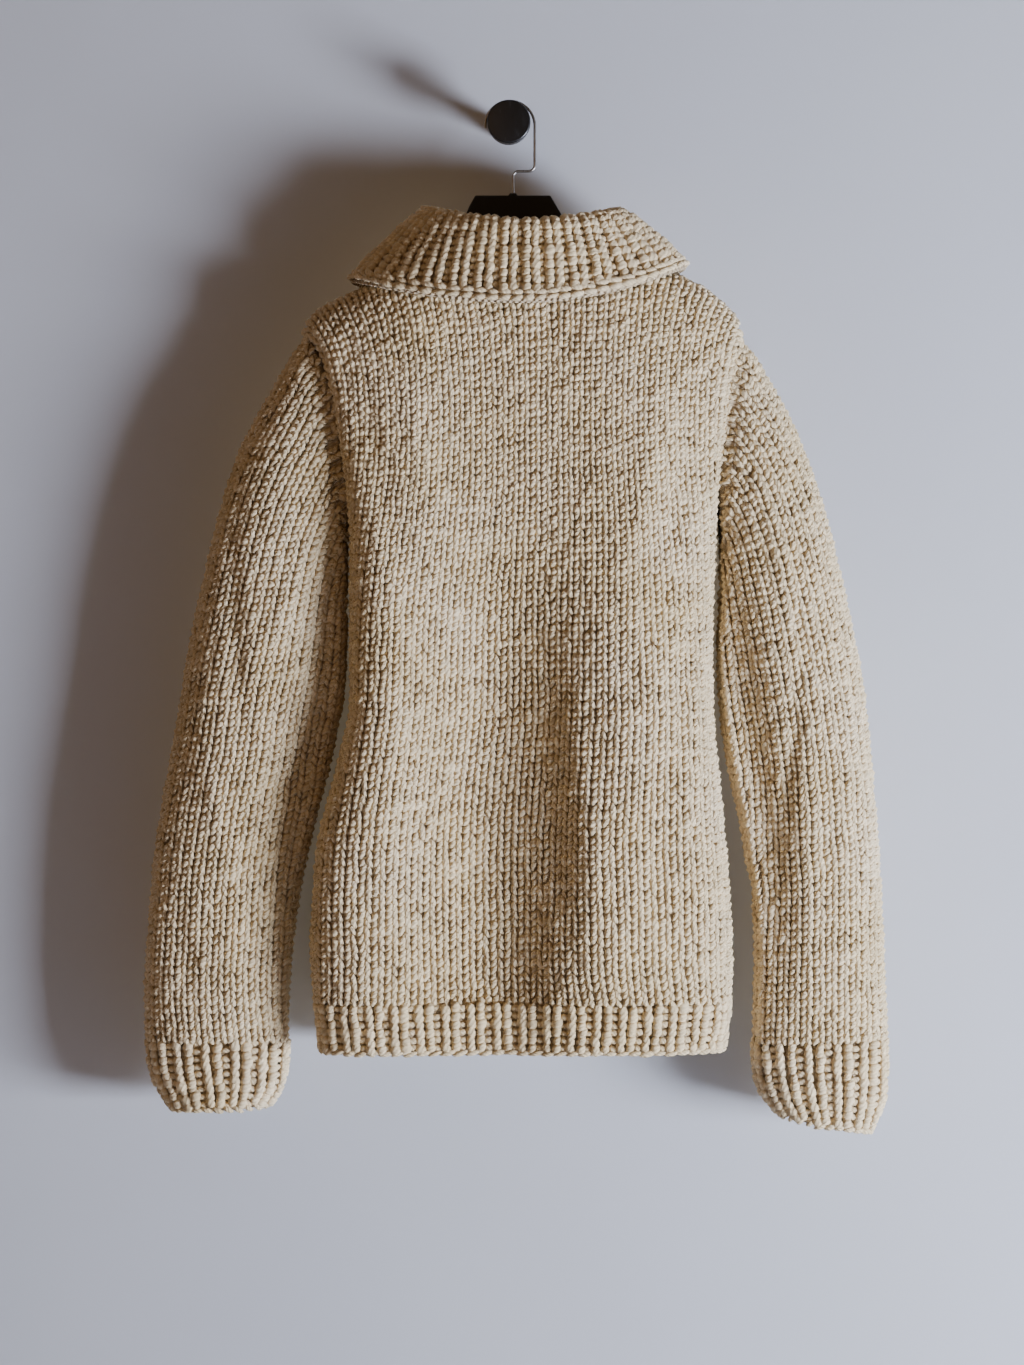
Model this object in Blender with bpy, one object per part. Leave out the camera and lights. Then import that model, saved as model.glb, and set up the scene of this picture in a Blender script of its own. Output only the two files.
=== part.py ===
"""Hand-knit wool sweater with a folded ribbed collar, on a hanger and a wall peg.

Sizes are in millimetres and become metres where a mesh is made.  The origin is the middle
of the peg's flat back face, which lies on the wall y = 0.  The garment hangs towards -Y
with its back outermost, +X is to the right of someone who looks at that back, +Z is up.
"""
from math import cos, pi, sin, sqrt

import bmesh
import bpy
import numpy as np
from mathutils import Vector

MM = 0.001

SEAM_GAP = 0.3          # between pieces that are sewn or rest together
COLLAR_GAP = 0.95       # measured upwards where the collar stands on the sloping neck edge
KNIT_WALL = 6.0         # chunky plain knit
RIB_WALL = 5.0          # ribbed knit between the ribs
RIB_RISE = 3.0          # how far a rib stands proud
HANG_Y = -60.0          # plane of the hanger, the side seams and the shoulder seams

HEM_BOTTOM = -803.0
HEM_TOP = -760.0
UNDERARM_Z = -378.0
LEFT_TIP_Z = -190.0
RIGHT_TIP_Z = -190.0

# The grid of a panel: rows from hem rib to underarm, rows along the armhole, columns
SIDE_ROWS = 9
ARMHOLE_ROWS = 10
SHOULDER_COLUMNS = 7
NECK_COLUMNS = 8
PANEL_COLUMNS = 2 * SHOULDER_COLUMNS + NECK_COLUMNS

ROW_SAMPLES = 160       # steps along a row when its length is measured

BACK_RIBS = 20
FRONT_RIBS = 20
CUFF_RIBS = 12
COLLAR_RIBS = 28
POINTS_PER_RIB = 4
HEM_MIDDLE = 0.35       # share of the hem's height where its middle row lies

NECK_LEFT_X = -68.0
NECK_RIGHT_X = 92.0


def table(names, rows):
    """Rows with named columns, as one array for each name."""
    return {name: np.array([row[i] for row in rows], float) for i, name in enumerate(names)}


# Side outlines and depths of the body, from the hem up
BODY = table(("z", "left_x", "right_x", "back_depth", "front_depth"), (
    (-803, -164, 188, 62, 46),
    (-760, -168, 193, 66, 49),
    (-718, -171, 194, 70, 50),
    (-631, -166, 189, 76, 50),
    (-552, -147, 181, 78, 48),
    (-500, -137, 177, 77, 47),
    (-439, -137, 177, 74, 45),
    (-378, -137, 180, 70, 42),
    (-300, -147, 186, 62, 37),
    (-239, -160, 193, 55, 32),
    (-205, -174, 200, 50, 29),
    (-190, -182, 206, 48, 28),
    (-134, -208, 226, 43, 26),
))

# Shoulder seams, with the straight line over the neck opening between them
SHOULDER = table(("x", "z"), (
    (-182, -190), (-177, -176), (-164, -161), (-138, -148), (-105, -133), (-68, -117),
    (92, -112), (125, -122), (158, -137), (180, -151), (198, -170), (206, -190),
))

# The hang of the back: a long soft trough between two crests
BACK_FOLD = table(("z", "trough_x", "trough_depth", "left_crest_x", "right_crest_x"), (
    (-803, -12, 16, -135, 70),
    (-740, -12, 24, -137, 70),
    (-631, -8, 30, -137, 88),
    (-552, -8, 30, -132, 112),
    (-480, -6, 27, -128, 122),
    (-378, -10, 18, -124, 128),
    (-300, -14, 9, -124, 132),
    (-230, -14, 3, -124, 132),
    (-134, -14, 0, -124, 132),
))

# The hidden front hangs against the wall with one shallow trough
FRONT_FOLD = table(("z", "trough_x", "trough_depth", "left_crest_x", "right_crest_x"), (
    (-803, 30, 9, -110, 130),
    (-600, 24, 11, -105, 130),
    (-378, 16, 6, -100, 125),
    (-134, 12, 0, -100, 125),
))

# How square the body's sides are in plan: higher is squarer
BACK_LEFT_SQUARE = 5.0
BACK_RIGHT_SQUARE = 3.0
FRONT_SQUARE = 3.2

ARMHOLE_BACK_DEPTH = 33.0
ARMHOLE_FRONT_DEPTH = 24.0
TIP_EDGE_SHARE = 0.85   # share of the armhole's depth that a panel's top corners have
RIDGE_START = 0.6       # share of the armhole's height where the shoulder starts to round over
SHOULDER_SQUARE = 3.0   # how full the shoulder's rounding and the armhole's upper end are
UNDERARM_SQUARE = 2.0   # and the armhole's lower end

NECK_BACK_DEPTH = 40.0
NECK_FRONT_DEPTH = 27.0
NECK_BACK_DROP = 19.0
NECK_FRONT_DROP = 42.0

# Sleeve rings below the armhole, each from its outer point to its inner point
SLEEVE_COLUMNS = ("outer_x", "outer_z", "inner_x", "inner_z", "back_depth", "front_depth", "groove")
LEFT_SLEEVE = table(SLEEVE_COLUMNS, (
    (-202, -225, -139, -404, 36, 26, 1),
    (-222, -260, -139, -430, 39, 29, 3),
    (-239, -299, -140, -457, 41, 32, 5),
    (-255, -352, -142, -491, 43, 34, 7),
    (-267, -404, -148, -526, 43, 35, 8),
    (-278, -457, -155, -560, 42, 36, 8),
    (-289, -526, -166, -601, 41, 36, 7),
    (-299, -579, -175, -640, 40, 36, 6),
    (-308, -640, -182, -679, 39, 35, 5),
    (-313, -701, -187, -719, 37, 34, 4),
    (-316, -749, -190, -762, 35, 32, 2),
    (-315, -795, -190, -795, 32, 29, 0),
))
RIGHT_SLEEVE = table(SLEEVE_COLUMNS, (
    (224, -219, 182, -406, 36, 26, 2),
    (241, -249, 181, -432, 39, 29, 5),
    (259, -291, 180, -461, 41, 32, 8),
    (272, -330, 181, -491, 43, 34, 11),
    (284, -374, 185, -531, 44, 35, 13),
    (295, -422, 191, -566, 44, 36, 14),
    (305, -474, 198, -598, 43, 36, 14),
    (313, -535, 204, -631, 42, 36, 13),
    (318, -596, 209, -666, 41, 36, 11),
    (322, -649, 212, -701, 39, 35, 8),
    (325, -710, 212, -740, 37, 33, 4),
    (329, -793, 210, -797, 33, 30, 0),
))
CUFF_COLUMNS = ("outer_x", "outer_z", "inner_x", "inner_z", "back_depth", "front_depth")
LEFT_CUFF = table(CUFF_COLUMNS, (
    (-315, -795, -190, -795, 32, 29),
    (-313, -815, -191, -815, 31, 28),
    (-306, -836, -195, -836, 29, 27),
    (-294, -856, -207, -853, 27, 25),
))
RIGHT_CUFF = table(CUFF_COLUMNS, (
    (329, -793, 210, -797, 33, 30),
    (329, -819, 212, -822, 32, 29),
    (326, -848, 219, -844, 30, 28),
    (316, -876, 234, -862, 28, 26),
))
SLEEVE_SQUARE = 2.3
GROOVE_ANGLE = 0.95     # where the sleeve's long groove runs, in radians from the inner edge
GROOVE_WIDTH = 0.42

# The collar's mid surface, from the top of its stand over the fold to its loose edge
COLLAR_CENTRE_X = 12.0
COLLAR = table(("left", "right", "back", "front",
                "z_left", "z_right", "z_back", "z_front"), (
    (79, 79, 40, 27, -100, -97, -112, -128),
    (79, 79, 41, 27, -84, -84, -98, -112),
    (80, 80, 42, 28, -79, -80, -93, -107),
    (85, 85, 47, 33, -76, -77, -91, -105),
    (90, 90, 52, 38, -80, -80, -94, -109),
    (106, 103, 56, 41, -93, -89, -110, -122),
    (129, 125, 61, 44, -115, -107, -136, -141),
    (150, 143, 66, 47, -137, -125, -162, -158),
))

# The hanger and what holds it
HANGER_HALF_THICKNESS = 4.5
HANGER_DROP = 11.0      # from the shoulder seam's outside to the hanger's top edge
HANGER_DEPTH = 24.0
HANGER_TOP_Z = -63.0
HANGER_BEVEL = 0.8
FERRULE_HALF_WIDTH = 3.3
FERRULE_RISE = 2.0      # the collar round the hook's shank, above the hanger's top edge
WIRE_RADIUS = 1.2
HOOK_CENTRE = (1.0, -2.0)
HOOK_RADIUS = 21.5
HOOK_START = 1.03       # the hook's free end, in half turns from its right side
HOOK_STEPS = 22
HOOK_RIGHT_BOTTOM_Z = -41.5
HOOK_SHANK_X = 3.7
HOOK_BEND = 5.0
BEND_STEPS = 4
PEG_STEM_RADIUS = 8.0
PEG_SEAT_RADIUS = 18.0  # where the hook's wire rests
PEG_SEAT_START = 55.0
PEG_HEAD_RADIUS = 18.8
PEG_HEAD_START = 64.0
PEG_LENGTH = 72.0
PEG_ROUNDING = 1.5
PEG_SEGMENTS = 40

SHARP_ANGLE = 0.9       # edges that turn more than this stay sharp, in radians

WOOL = (0.72, 0.61, 0.46)
WOOL_RIB = (0.74, 0.64, 0.49)
BLACK_PLASTIC = (0.012, 0.012, 0.013)
STEEL = (0.55, 0.54, 0.52)


def read(tab, key, name, at):
    """A column's value at a place along the key column, on a smooth curve without overshoot."""
    xs = tab[key]
    ys = tab[name]
    if xs[0] > xs[-1]:
        xs = xs[::-1]
        ys = ys[::-1]
    at = min(max(at, xs[0]), xs[-1])
    i = int(min(max(np.searchsorted(xs, at) - 1, 0), len(xs) - 2))
    secant = np.diff(ys) / np.diff(xs)

    def tangent(k):
        if k == 0:
            return secant[0]
        if k == len(xs) - 1:
            return secant[-1]
        before = secant[k - 1]
        after = secant[k]
        return 0.0 if before * after <= 0 else 2 * before * after / (before + after)

    step = xs[i + 1] - xs[i]
    t = (at - xs[i]) / step
    return float((2 * t ** 3 - 3 * t ** 2 + 1) * ys[i] + (t ** 3 - 2 * t ** 2 + t) * step * tangent(i)
                 + (3 * t ** 2 - 2 * t ** 3) * ys[i + 1] + (t ** 3 - t ** 2) * step * tangent(i + 1))


def mix(a, b, share):
    return a + (b - a) * share


def signed_power(value, power):
    return abs(value) ** power * (1 if value >= 0 else -1)


# Surfaces of the body

def shoulder_z(x):
    return read(SHOULDER, "x", "z", x)


def neck_share(x):
    """0 at the neck points and on the shoulders, 1 over the middle of the neck opening."""
    middle = (NECK_LEFT_X + NECK_RIGHT_X) / 2
    t = (x - middle) / ((NECK_RIGHT_X - NECK_LEFT_X) / 2)
    return sqrt(max(0.0, 1 - t * t))


def top_edge(x, face):
    """Height of a panel's top edge and its distance from the seam plane."""
    share = neck_share(x)
    if face == "back":
        return shoulder_z(x) - NECK_BACK_DROP * share ** 2, NECK_BACK_DEPTH * share
    return shoulder_z(x) - NECK_FRONT_DROP * share ** 2, NECK_FRONT_DEPTH * share


def fold_depth(x, z, face):
    fold = BACK_FOLD if face == "back" else FRONT_FOLD
    trough_x = read(fold, "z", "trough_x", z)
    side = "left_crest_x" if x < trough_x else "right_crest_x"
    reach = abs(read(fold, "z", side, z) - trough_x)
    distance = min(abs(x - trough_x) / reach, 1.0)
    return read(fold, "z", "trough_depth", z) * (0.5 + 0.5 * cos(pi * distance))


def section_depth(x, left, right, z, face, edge_depth):
    """Distance of a panel from the seam plane at x, for a section between left and right."""
    full = read(BODY, "z", face + "_depth", z)
    t = (2 * x - left - right) / (right - left)
    square = FRONT_SQUARE
    if face == "back":
        square = BACK_LEFT_SQUARE if t < 0 else BACK_RIGHT_SQUARE
    edge_t = (1 - (edge_depth / full) ** square) ** (1 / square)
    round_part = full * max(0.0, 1 - (abs(t) * edge_t) ** square) ** (1 / square)
    return round_part - fold_depth(x, z, face) * (1 - abs(t) ** 8)


def ridge(climb):
    """Share of the depth that is left where the shoulder rounds over to its seam."""
    if climb <= RIDGE_START:
        return 1.0
    way = (climb - RIDGE_START) / (1 - RIDGE_START)
    return max(0.0, 1 - way ** SHOULDER_SQUARE) ** (1 / SHOULDER_SQUARE)


def armhole_depth(climb, face):
    full = ARMHOLE_BACK_DEPTH if face == "back" else ARMHOLE_FRONT_DEPTH
    square = UNDERARM_SQUARE if climb < 0.5 else SHOULDER_SQUARE
    return full * max(0.0, 1 - abs(1 - 2 * climb) ** square) ** (1 / square)


def panel_row(z_low, climb, face, shares):
    """Points of one panel row at the given shares of its length.

    Below the underarm z_low is the row's height and climb is 0.  Above it climb goes from
    0 at the underarm to 1 at the shoulder seams and the neck edge.
    """
    out = -1 if face == "back" else 1
    if climb > 0:
        left_z = mix(UNDERARM_Z, LEFT_TIP_Z, climb)
        right_z = mix(UNDERARM_Z, RIGHT_TIP_Z, climb)
    else:
        left_z = z_low
        right_z = z_low
    left = read(BODY, "z", "left_x", left_z)
    right = read(BODY, "z", "right_x", right_z)
    depth_z = mix(z_low, BODY["z"][-1], climb)
    over = ridge(climb)
    edge_depth = armhole_depth(climb, face) / over if 0 < climb < 1 else 0.0
    if climb == 1:
        edge_depth = TIP_EDGE_SHARE * armhole_depth(0.5, face)

    def point(x):
        top_z, top_depth = top_edge(x, face)
        depth = section_depth(x, left, right, depth_z, face, edge_depth)
        depth = top_depth * climb ** 3 * (1 - over) + depth * over
        z = mix(z_low, top_z, climb)
        return Vector((x, HANG_Y + out * max(depth, 0.0), z))

    xs = [mix(left, right, 0.5 - 0.5 * cos(pi * i / ROW_SAMPLES)) for i in range(ROW_SAMPLES + 1)]
    points = [point(x) for x in xs]
    walked = [0.0]
    for a, b in zip(points, points[1:]):
        walked.append(walked[-1] + (b - a).length)
    if climb == 1:
        places = [mix(left, right, s) for s in shares]
        return [point(x) for x in places]
    found = np.interp([s * walked[-1] for s in shares], walked, xs)
    return [point(x) for x in found]


def panel_shares(climb):
    """Column places of a row: even at the sides of the body, on the neck points at the top."""
    left = SHOULDER["x"][0]
    right = SHOULDER["x"][-1]
    top = [mix(left, NECK_LEFT_X, i / SHOULDER_COLUMNS) for i in range(SHOULDER_COLUMNS)]
    top += [mix(NECK_LEFT_X, NECK_RIGHT_X, 0.5 - 0.5 * cos(pi * i / NECK_COLUMNS))
            for i in range(NECK_COLUMNS)]
    top += [mix(NECK_RIGHT_X, right, i / SHOULDER_COLUMNS) for i in range(SHOULDER_COLUMNS + 1)]
    top = [(x - left) / (right - left) for x in top]
    even = [i / PANEL_COLUMNS for i in range(PANEL_COLUMNS + 1)]
    share = climb ** 2
    return [mix(e, t, share) for e, t in zip(even, top)]


def armhole_climbs():
    return [0.5 - 0.5 * cos(pi * i / ARMHOLE_ROWS) for i in range(ARMHOLE_ROWS + 1)]


def armhole_ring(side):
    """Points of the armhole seam with their inward and sleeve-ward directions.

    The ring starts at the underarm, climbs the back edge to the shoulder tip and comes
    down the front edge.
    """
    name = side + "_x"
    tip_z = LEFT_TIP_Z if side == "left" else RIGHT_TIP_Z
    climbs = armhole_climbs()
    ring = []
    for face, steps in (("back", climbs[:-1]), ("front", climbs[:0:-1])):
        out = -1 if face == "back" else 1
        for climb in steps:
            z = mix(UNDERARM_Z, tip_z, climb)
            depth = armhole_depth(climb, face)
            ring.append(Vector((read(BODY, "z", name, z), HANG_Y + out * depth, z)))
    centre = sum(ring, Vector()) / len(ring)
    outward = Vector((-1, 0, 0)) if side == "left" else Vector((1, 0, 0))
    result = []
    for k, place in enumerate(ring):
        along = (ring[(k + 1) % len(ring)] - ring[k - 1]).normalized()
        slope = (read(BODY, "z", name, place.z + 4) - read(BODY, "z", name, place.z - 4)) / 8
        across = outward.x * Vector((1, 0, -slope)).normalized()
        inward = along.cross(across).normalized()
        if inward.dot(centre - place) < 0:
            inward.negate()
        result.append((place, inward, across))
    return result


# Walls

def grid_normals(grid, closed, flip):
    """Outward unit normals at the points of a grid of rows."""
    rows = len(grid)
    columns = len(grid[0])
    normals = []
    for r in range(rows):
        line = []
        for c in range(columns):
            up = grid[min(r + 1, rows - 1)][c] - grid[max(r - 1, 0)][c]
            if closed:
                along = grid[r][(c + 1) % columns] - grid[r][c - 1]
            else:
                along = grid[r][min(c + 1, columns - 1)] - grid[r][max(c - 1, 0)]
            line.append(flip * along.cross(up).normalized())
        normals.append(line)
    return normals


def wall_object(name, outer, inner, closed, color, roughness=0.95):
    """A wall between two grids of points, closed at its rims, as one solid object."""
    mesh_maker = bmesh.new()
    rows = len(outer)
    columns = len(outer[0])
    corners = [[[mesh_maker.verts.new(p * MM) for p in line] for line in grid]
               for grid in (outer, inner)]
    spans = columns if closed else columns - 1
    for layer in (0, 1):
        for r in range(rows - 1):
            for c in range(spans):
                d = (c + 1) % columns
                quad = [corners[layer][r][c], corners[layer][r][d],
                        corners[layer][r + 1][d], corners[layer][r + 1][c]]
                mesh_maker.faces.new(quad if layer == 0 else quad[::-1])
    for r in (0, rows - 1):
        for c in range(spans):
            d = (c + 1) % columns
            quad = [corners[0][r][c], corners[1][r][c], corners[1][r][d], corners[0][r][d]]
            mesh_maker.faces.new(quad if r == 0 else quad[::-1])
    if not closed:
        for c in (0, columns - 1):
            for r in range(rows - 1):
                quad = [corners[0][r][c], corners[0][r + 1][c],
                        corners[1][r + 1][c], corners[1][r][c]]
                mesh_maker.faces.new(quad if c == 0 else quad[::-1])
    bmesh.ops.recalc_face_normals(mesh_maker, faces=mesh_maker.faces)
    return finish_object(name, mesh_maker, color, roughness, 0.0)


def finish_object(name, mesh_maker, color, roughness, metallic):
    mesh = bpy.data.meshes.new(name)
    mesh_maker.to_mesh(mesh)
    mesh_maker.free()
    mesh.shade_smooth()
    mesh.set_sharp_from_angle(angle=SHARP_ANGLE)
    thing = bpy.data.objects.new(name, mesh)
    bpy.context.collection.objects.link(thing)
    thing.data.materials.append(surface(name, color, roughness, metallic))
    return thing


def surface(name, color, roughness, metallic):
    material = bpy.data.materials.new(name)
    material.use_nodes = True
    shader = material.node_tree.nodes["Principled BSDF"]
    shader.inputs["Base Color"].default_value = (*color, 1.0)
    shader.inputs["Roughness"].default_value = roughness
    shader.inputs["Metallic"].default_value = metallic
    return material


# Pieces of cloth

def panel_piece(face):
    """The back or the front, from the hem rib to the shoulders, armholes and neck edge."""
    out = -1 if face == "back" else 1
    rings = {side: armhole_ring(side) for side in ("left", "right")}
    grid = []
    climbs = []
    for i in range(SIDE_ROWS):
        z = mix(HEM_TOP + SEAM_GAP / 2, UNDERARM_Z, i / SIDE_ROWS)
        grid.append(panel_row(z, 0.0, face, panel_shares(0.0)))
        climbs.append(0.0)
    for climb in armhole_climbs():
        grid.append(panel_row(UNDERARM_Z, climb, face, panel_shares(climb)))
        climbs.append(climb)

    normals = grid_normals(grid, False, 1 if face == "back" else -1)
    inner = [[p - n * KNIT_WALL for p, n in zip(line, row)] for line, row in zip(grid, normals)]

    lift = Vector((0, out * SEAM_GAP / 2, 0))
    for r in range(SIDE_ROWS):
        for c, inward in ((0, Vector((1, 0, 0))), (PANEL_COLUMNS, Vector((-1, 0, 0)))):
            grid[r][c] = grid[r][c] + lift
            inner[r][c] = grid[r][c] + inward * KNIT_WALL
    bottom = [Vector((n.x, n.y, 0)).normalized() for n in normals[0]]
    for c in range(1, PANEL_COLUMNS):
        inner[0][c] = grid[0][c] - bottom[c] * KNIT_WALL

    for step in range(ARMHOLE_ROWS + 1):
        r = SIDE_ROWS + step
        k = step if face == "back" else -step
        for c, side in ((0, "left"), (PANEL_COLUMNS, "right")):
            place, inward, across = rings[side][k]
            seam = lift if step in (0, ARMHOLE_ROWS) else Vector()
            grid[r][c] = place + seam - across * SEAM_GAP / 2
            inner[r][c] = grid[r][c] + inward * KNIT_WALL

    top = len(grid) - 1
    first_neck = SHOULDER_COLUMNS
    last_neck = SHOULDER_COLUMNS + NECK_COLUMNS
    for c in range(1, PANEL_COLUMNS):
        along = grid[top][c + 1] - grid[top][c - 1]
        if first_neck < c < last_neck:
            inward = Vector((out * along.y, -out * along.x, 0)).normalized()
        else:
            grid[top][c] = Vector((grid[top][c].x, HANG_Y, grid[top][c].z)) + lift
            inward = Vector((along.z, 0, -along.x)).normalized()
            if c in (first_neck, last_neck):
                inward = Vector((1 if c == first_neck else -1, 0, 0))
        inner[top][c] = grid[top][c] + inward * KNIT_WALL
    wall_object(face, grid, inner, False, WOOL)
    return ([grid[top][c] for c in range(first_neck, last_neck + 1)],
            [inner[top][c] for c in range(first_neck, last_neck + 1)])


def rib_rise(column):
    """Raised for the two middle points of each four."""
    return RIB_RISE if column % POINTS_PER_RIB in (1, 2) else 0.0


def hem_piece(face, ribs):
    """The ribbed band below a panel, with its ribs raised on the outside."""
    out = -1 if face == "back" else 1
    columns = ribs * POINTS_PER_RIB
    shares = [i / columns for i in range(columns + 1)]
    heights = [HEM_BOTTOM, mix(HEM_BOTTOM, HEM_TOP, HEM_MIDDLE), HEM_TOP - SEAM_GAP / 2]
    plain = [panel_row(z, 0.0, face, shares) for z in heights]
    normals = grid_normals(plain, False, 1 if face == "back" else -1)
    outer = []
    inner = []
    for line, row in zip(plain, normals):
        flat = [Vector((n.x, n.y, 0)).normalized() for n in row]
        outer.append([p + n * (rib_rise(c) - RIB_RISE) for c, (p, n) in enumerate(zip(line, flat))])
        inner.append([p - n * (RIB_RISE + RIB_WALL) for p, n in zip(line, flat)])
        for c, inward in ((0, Vector((1, 0, 0))), (columns, Vector((-1, 0, 0)))):
            edge = line[c] + Vector((0, out * SEAM_GAP / 2, 0))
            outer[-1][c] = edge + inward * RIB_RISE
            inner[-1][c] = edge + inward * (RIB_RISE + RIB_WALL)
    wall_object("hem_" + face, outer, inner, False, WOOL_RIB)


def tube_ring(outer_end, inner_end, back_depth, front_depth, groove, count):
    """One ring of a sleeve or cuff, from its inner point over the back to the outer point."""
    centre = (outer_end + inner_end) / 2
    half = (outer_end - inner_end) / 2
    ring = []
    for k in range(count):
        angle = 2 * pi * k / count
        reach = -signed_power(cos(angle), 2 / SLEEVE_SQUARE)
        swell = signed_power(sin(angle), 2 / SLEEVE_SQUARE)
        depth = back_depth * swell if swell > 0 else front_depth * swell
        depth -= groove * np.exp(-((angle - GROOVE_ANGLE) / GROOVE_WIDTH) ** 2)
        ring.append(centre + half * reach + Vector((0, -depth, 0)))
    return ring


def end_directions(ring, normals):
    """Wall directions that lie in the plane of a tube's end ring."""
    plane = (ring[len(ring) // 4] - ring[0]).cross(ring[len(ring) // 2] - ring[0]).normalized()
    return [(n - plane * n.dot(plane)).normalized() for n in normals]


def tube_ends(row):
    return (Vector((row["outer_x"], HANG_Y, row["outer_z"])),
            Vector((row["inner_x"], HANG_Y, row["inner_z"])))


def table_rows(tab):
    count = len(next(iter(tab.values())))
    return [{name: float(values[i]) for name, values in tab.items()} for i in range(count)]


def sleeve_piece(side, tab):
    """A set-in sleeve: its first ring is the armhole, its last one sits on the cuff."""
    count = 2 * ARMHOLE_ROWS
    seam = armhole_ring(side)
    grid = [[place + across * SEAM_GAP / 2 for place, inward, across in seam]]
    for row in table_rows(tab):
        outer_end, inner_end = tube_ends(row)
        grid.append(tube_ring(outer_end, inner_end, row["back_depth"], row["front_depth"],
                              row["groove"], count))
    flip = 1 if side == "left" else -1
    normals = grid_normals(grid, True, flip)
    inner = [[p - n * KNIT_WALL for p, n in zip(line, row)] for line, row in zip(grid, normals)]
    inner[0] = [p + inward * KNIT_WALL for p, (place, inward, across) in zip(grid[0], seam)]
    flat = end_directions(grid[-1], normals[-1])
    raise_by = Vector((0, 0, SEAM_GAP / 2))
    grid[-1] = [p + raise_by for p in grid[-1]]
    inner[-1] = [p - n * KNIT_WALL for p, n in zip(grid[-1], flat)]
    wall_object("sleeve_" + side, grid, inner, True, WOOL)


def cuff_piece(side, tab):
    """The ribbed cuff, with its ribs raised on the outside."""
    count = CUFF_RIBS * POINTS_PER_RIB
    plain = []
    for row in table_rows(tab):
        outer_end, inner_end = tube_ends(row)
        plain.append(tube_ring(outer_end, inner_end, row["back_depth"], row["front_depth"],
                               0.0, count))
    flip = 1 if side == "left" else -1
    normals = grid_normals(plain, True, flip)
    outer = []
    inner = []
    for line, row in zip(plain, normals):
        flat = end_directions(line, row)
        outer.append([p + n * (rib_rise(c) - RIB_RISE) for c, (p, n) in enumerate(zip(line, flat))])
        inner.append([p - n * (RIB_RISE + RIB_WALL) for p, n in zip(line, flat)])
    lower_by = Vector((0, 0, SEAM_GAP / 2))
    outer[0] = [p - lower_by for p in outer[0]]
    inner[0] = [p - lower_by for p in inner[0]]
    wall_object("cuff_" + side, outer, inner, True, WOOL_RIB)


def collar_piece(back_edge, front_edge):
    """The folded collar: a stand on the neck edge, a tight fold and a fall over the shoulders.

    Each edge holds the outer and inner points of a panel's neck edge, left to right.
    """
    columns = COLLAR_RIBS * POINTS_PER_RIB
    edge_outer = back_edge[0][:-1] + front_edge[0][:0:-1]
    edge_inner = back_edge[1][:-1] + front_edge[1][:0:-1]
    spans = len(edge_outer)
    per_span = columns // spans

    def along_edge(points, k):
        i, rest = divmod(k, per_span)
        return points[i].lerp(points[(i + 1) % spans], rest / per_span)

    lift = Vector((0, 0, COLLAR_GAP))
    foot_outer = [along_edge(edge_outer, k) + lift for k in range(columns)]
    foot_inner = [along_edge(edge_inner, k) + lift for k in range(columns)]
    rows = table_rows(COLLAR)
    middle = [[] for row in rows]
    for k in range(columns):
        foot = foot_outer[k]
        half_width = (NECK_RIGHT_X - NECK_LEFT_X) / 2
        depth = NECK_BACK_DEPTH if foot.y < HANG_Y else NECK_FRONT_DEPTH
        turn = Vector(((foot.x - COLLAR_CENTRE_X) / half_width, (foot.y - HANG_Y) / depth)).normalized()
        for line, row in zip(middle, rows):
            across = row["left"] if turn.x < 0 else row["right"]
            deep = row["back"] if turn.y < 0 else row["front"]
            z_side = row["z_left"] if turn.x < 0 else row["z_right"]
            z_deep = row["z_back"] if turn.y < 0 else row["z_front"]
            line.append(Vector((COLLAR_CENTRE_X + across * turn.x, HANG_Y + deep * turn.y,
                                z_side * turn.x ** 2 + z_deep * turn.y ** 2)))
    full_wall = RIB_WALL + RIB_RISE
    foot_middle = [(a + b) / 2 for a, b in zip(foot_outer, foot_inner)]
    normals = grid_normals([foot_middle] + middle, True, -1)[1:]
    hidden = [foot_outer]
    shown = [foot_inner]
    for line, row in zip(middle, normals):
        hidden.append([p - n * full_wall / 2 for p, n in zip(line, row)])
        shown.append([p + n * (full_wall / 2 - RIB_RISE + rib_rise(k))
                      for k, (p, n) in enumerate(zip(line, row))])
    wall_object("collar", shown, hidden, True, WOOL_RIB)


# Hanger, hook and peg

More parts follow.
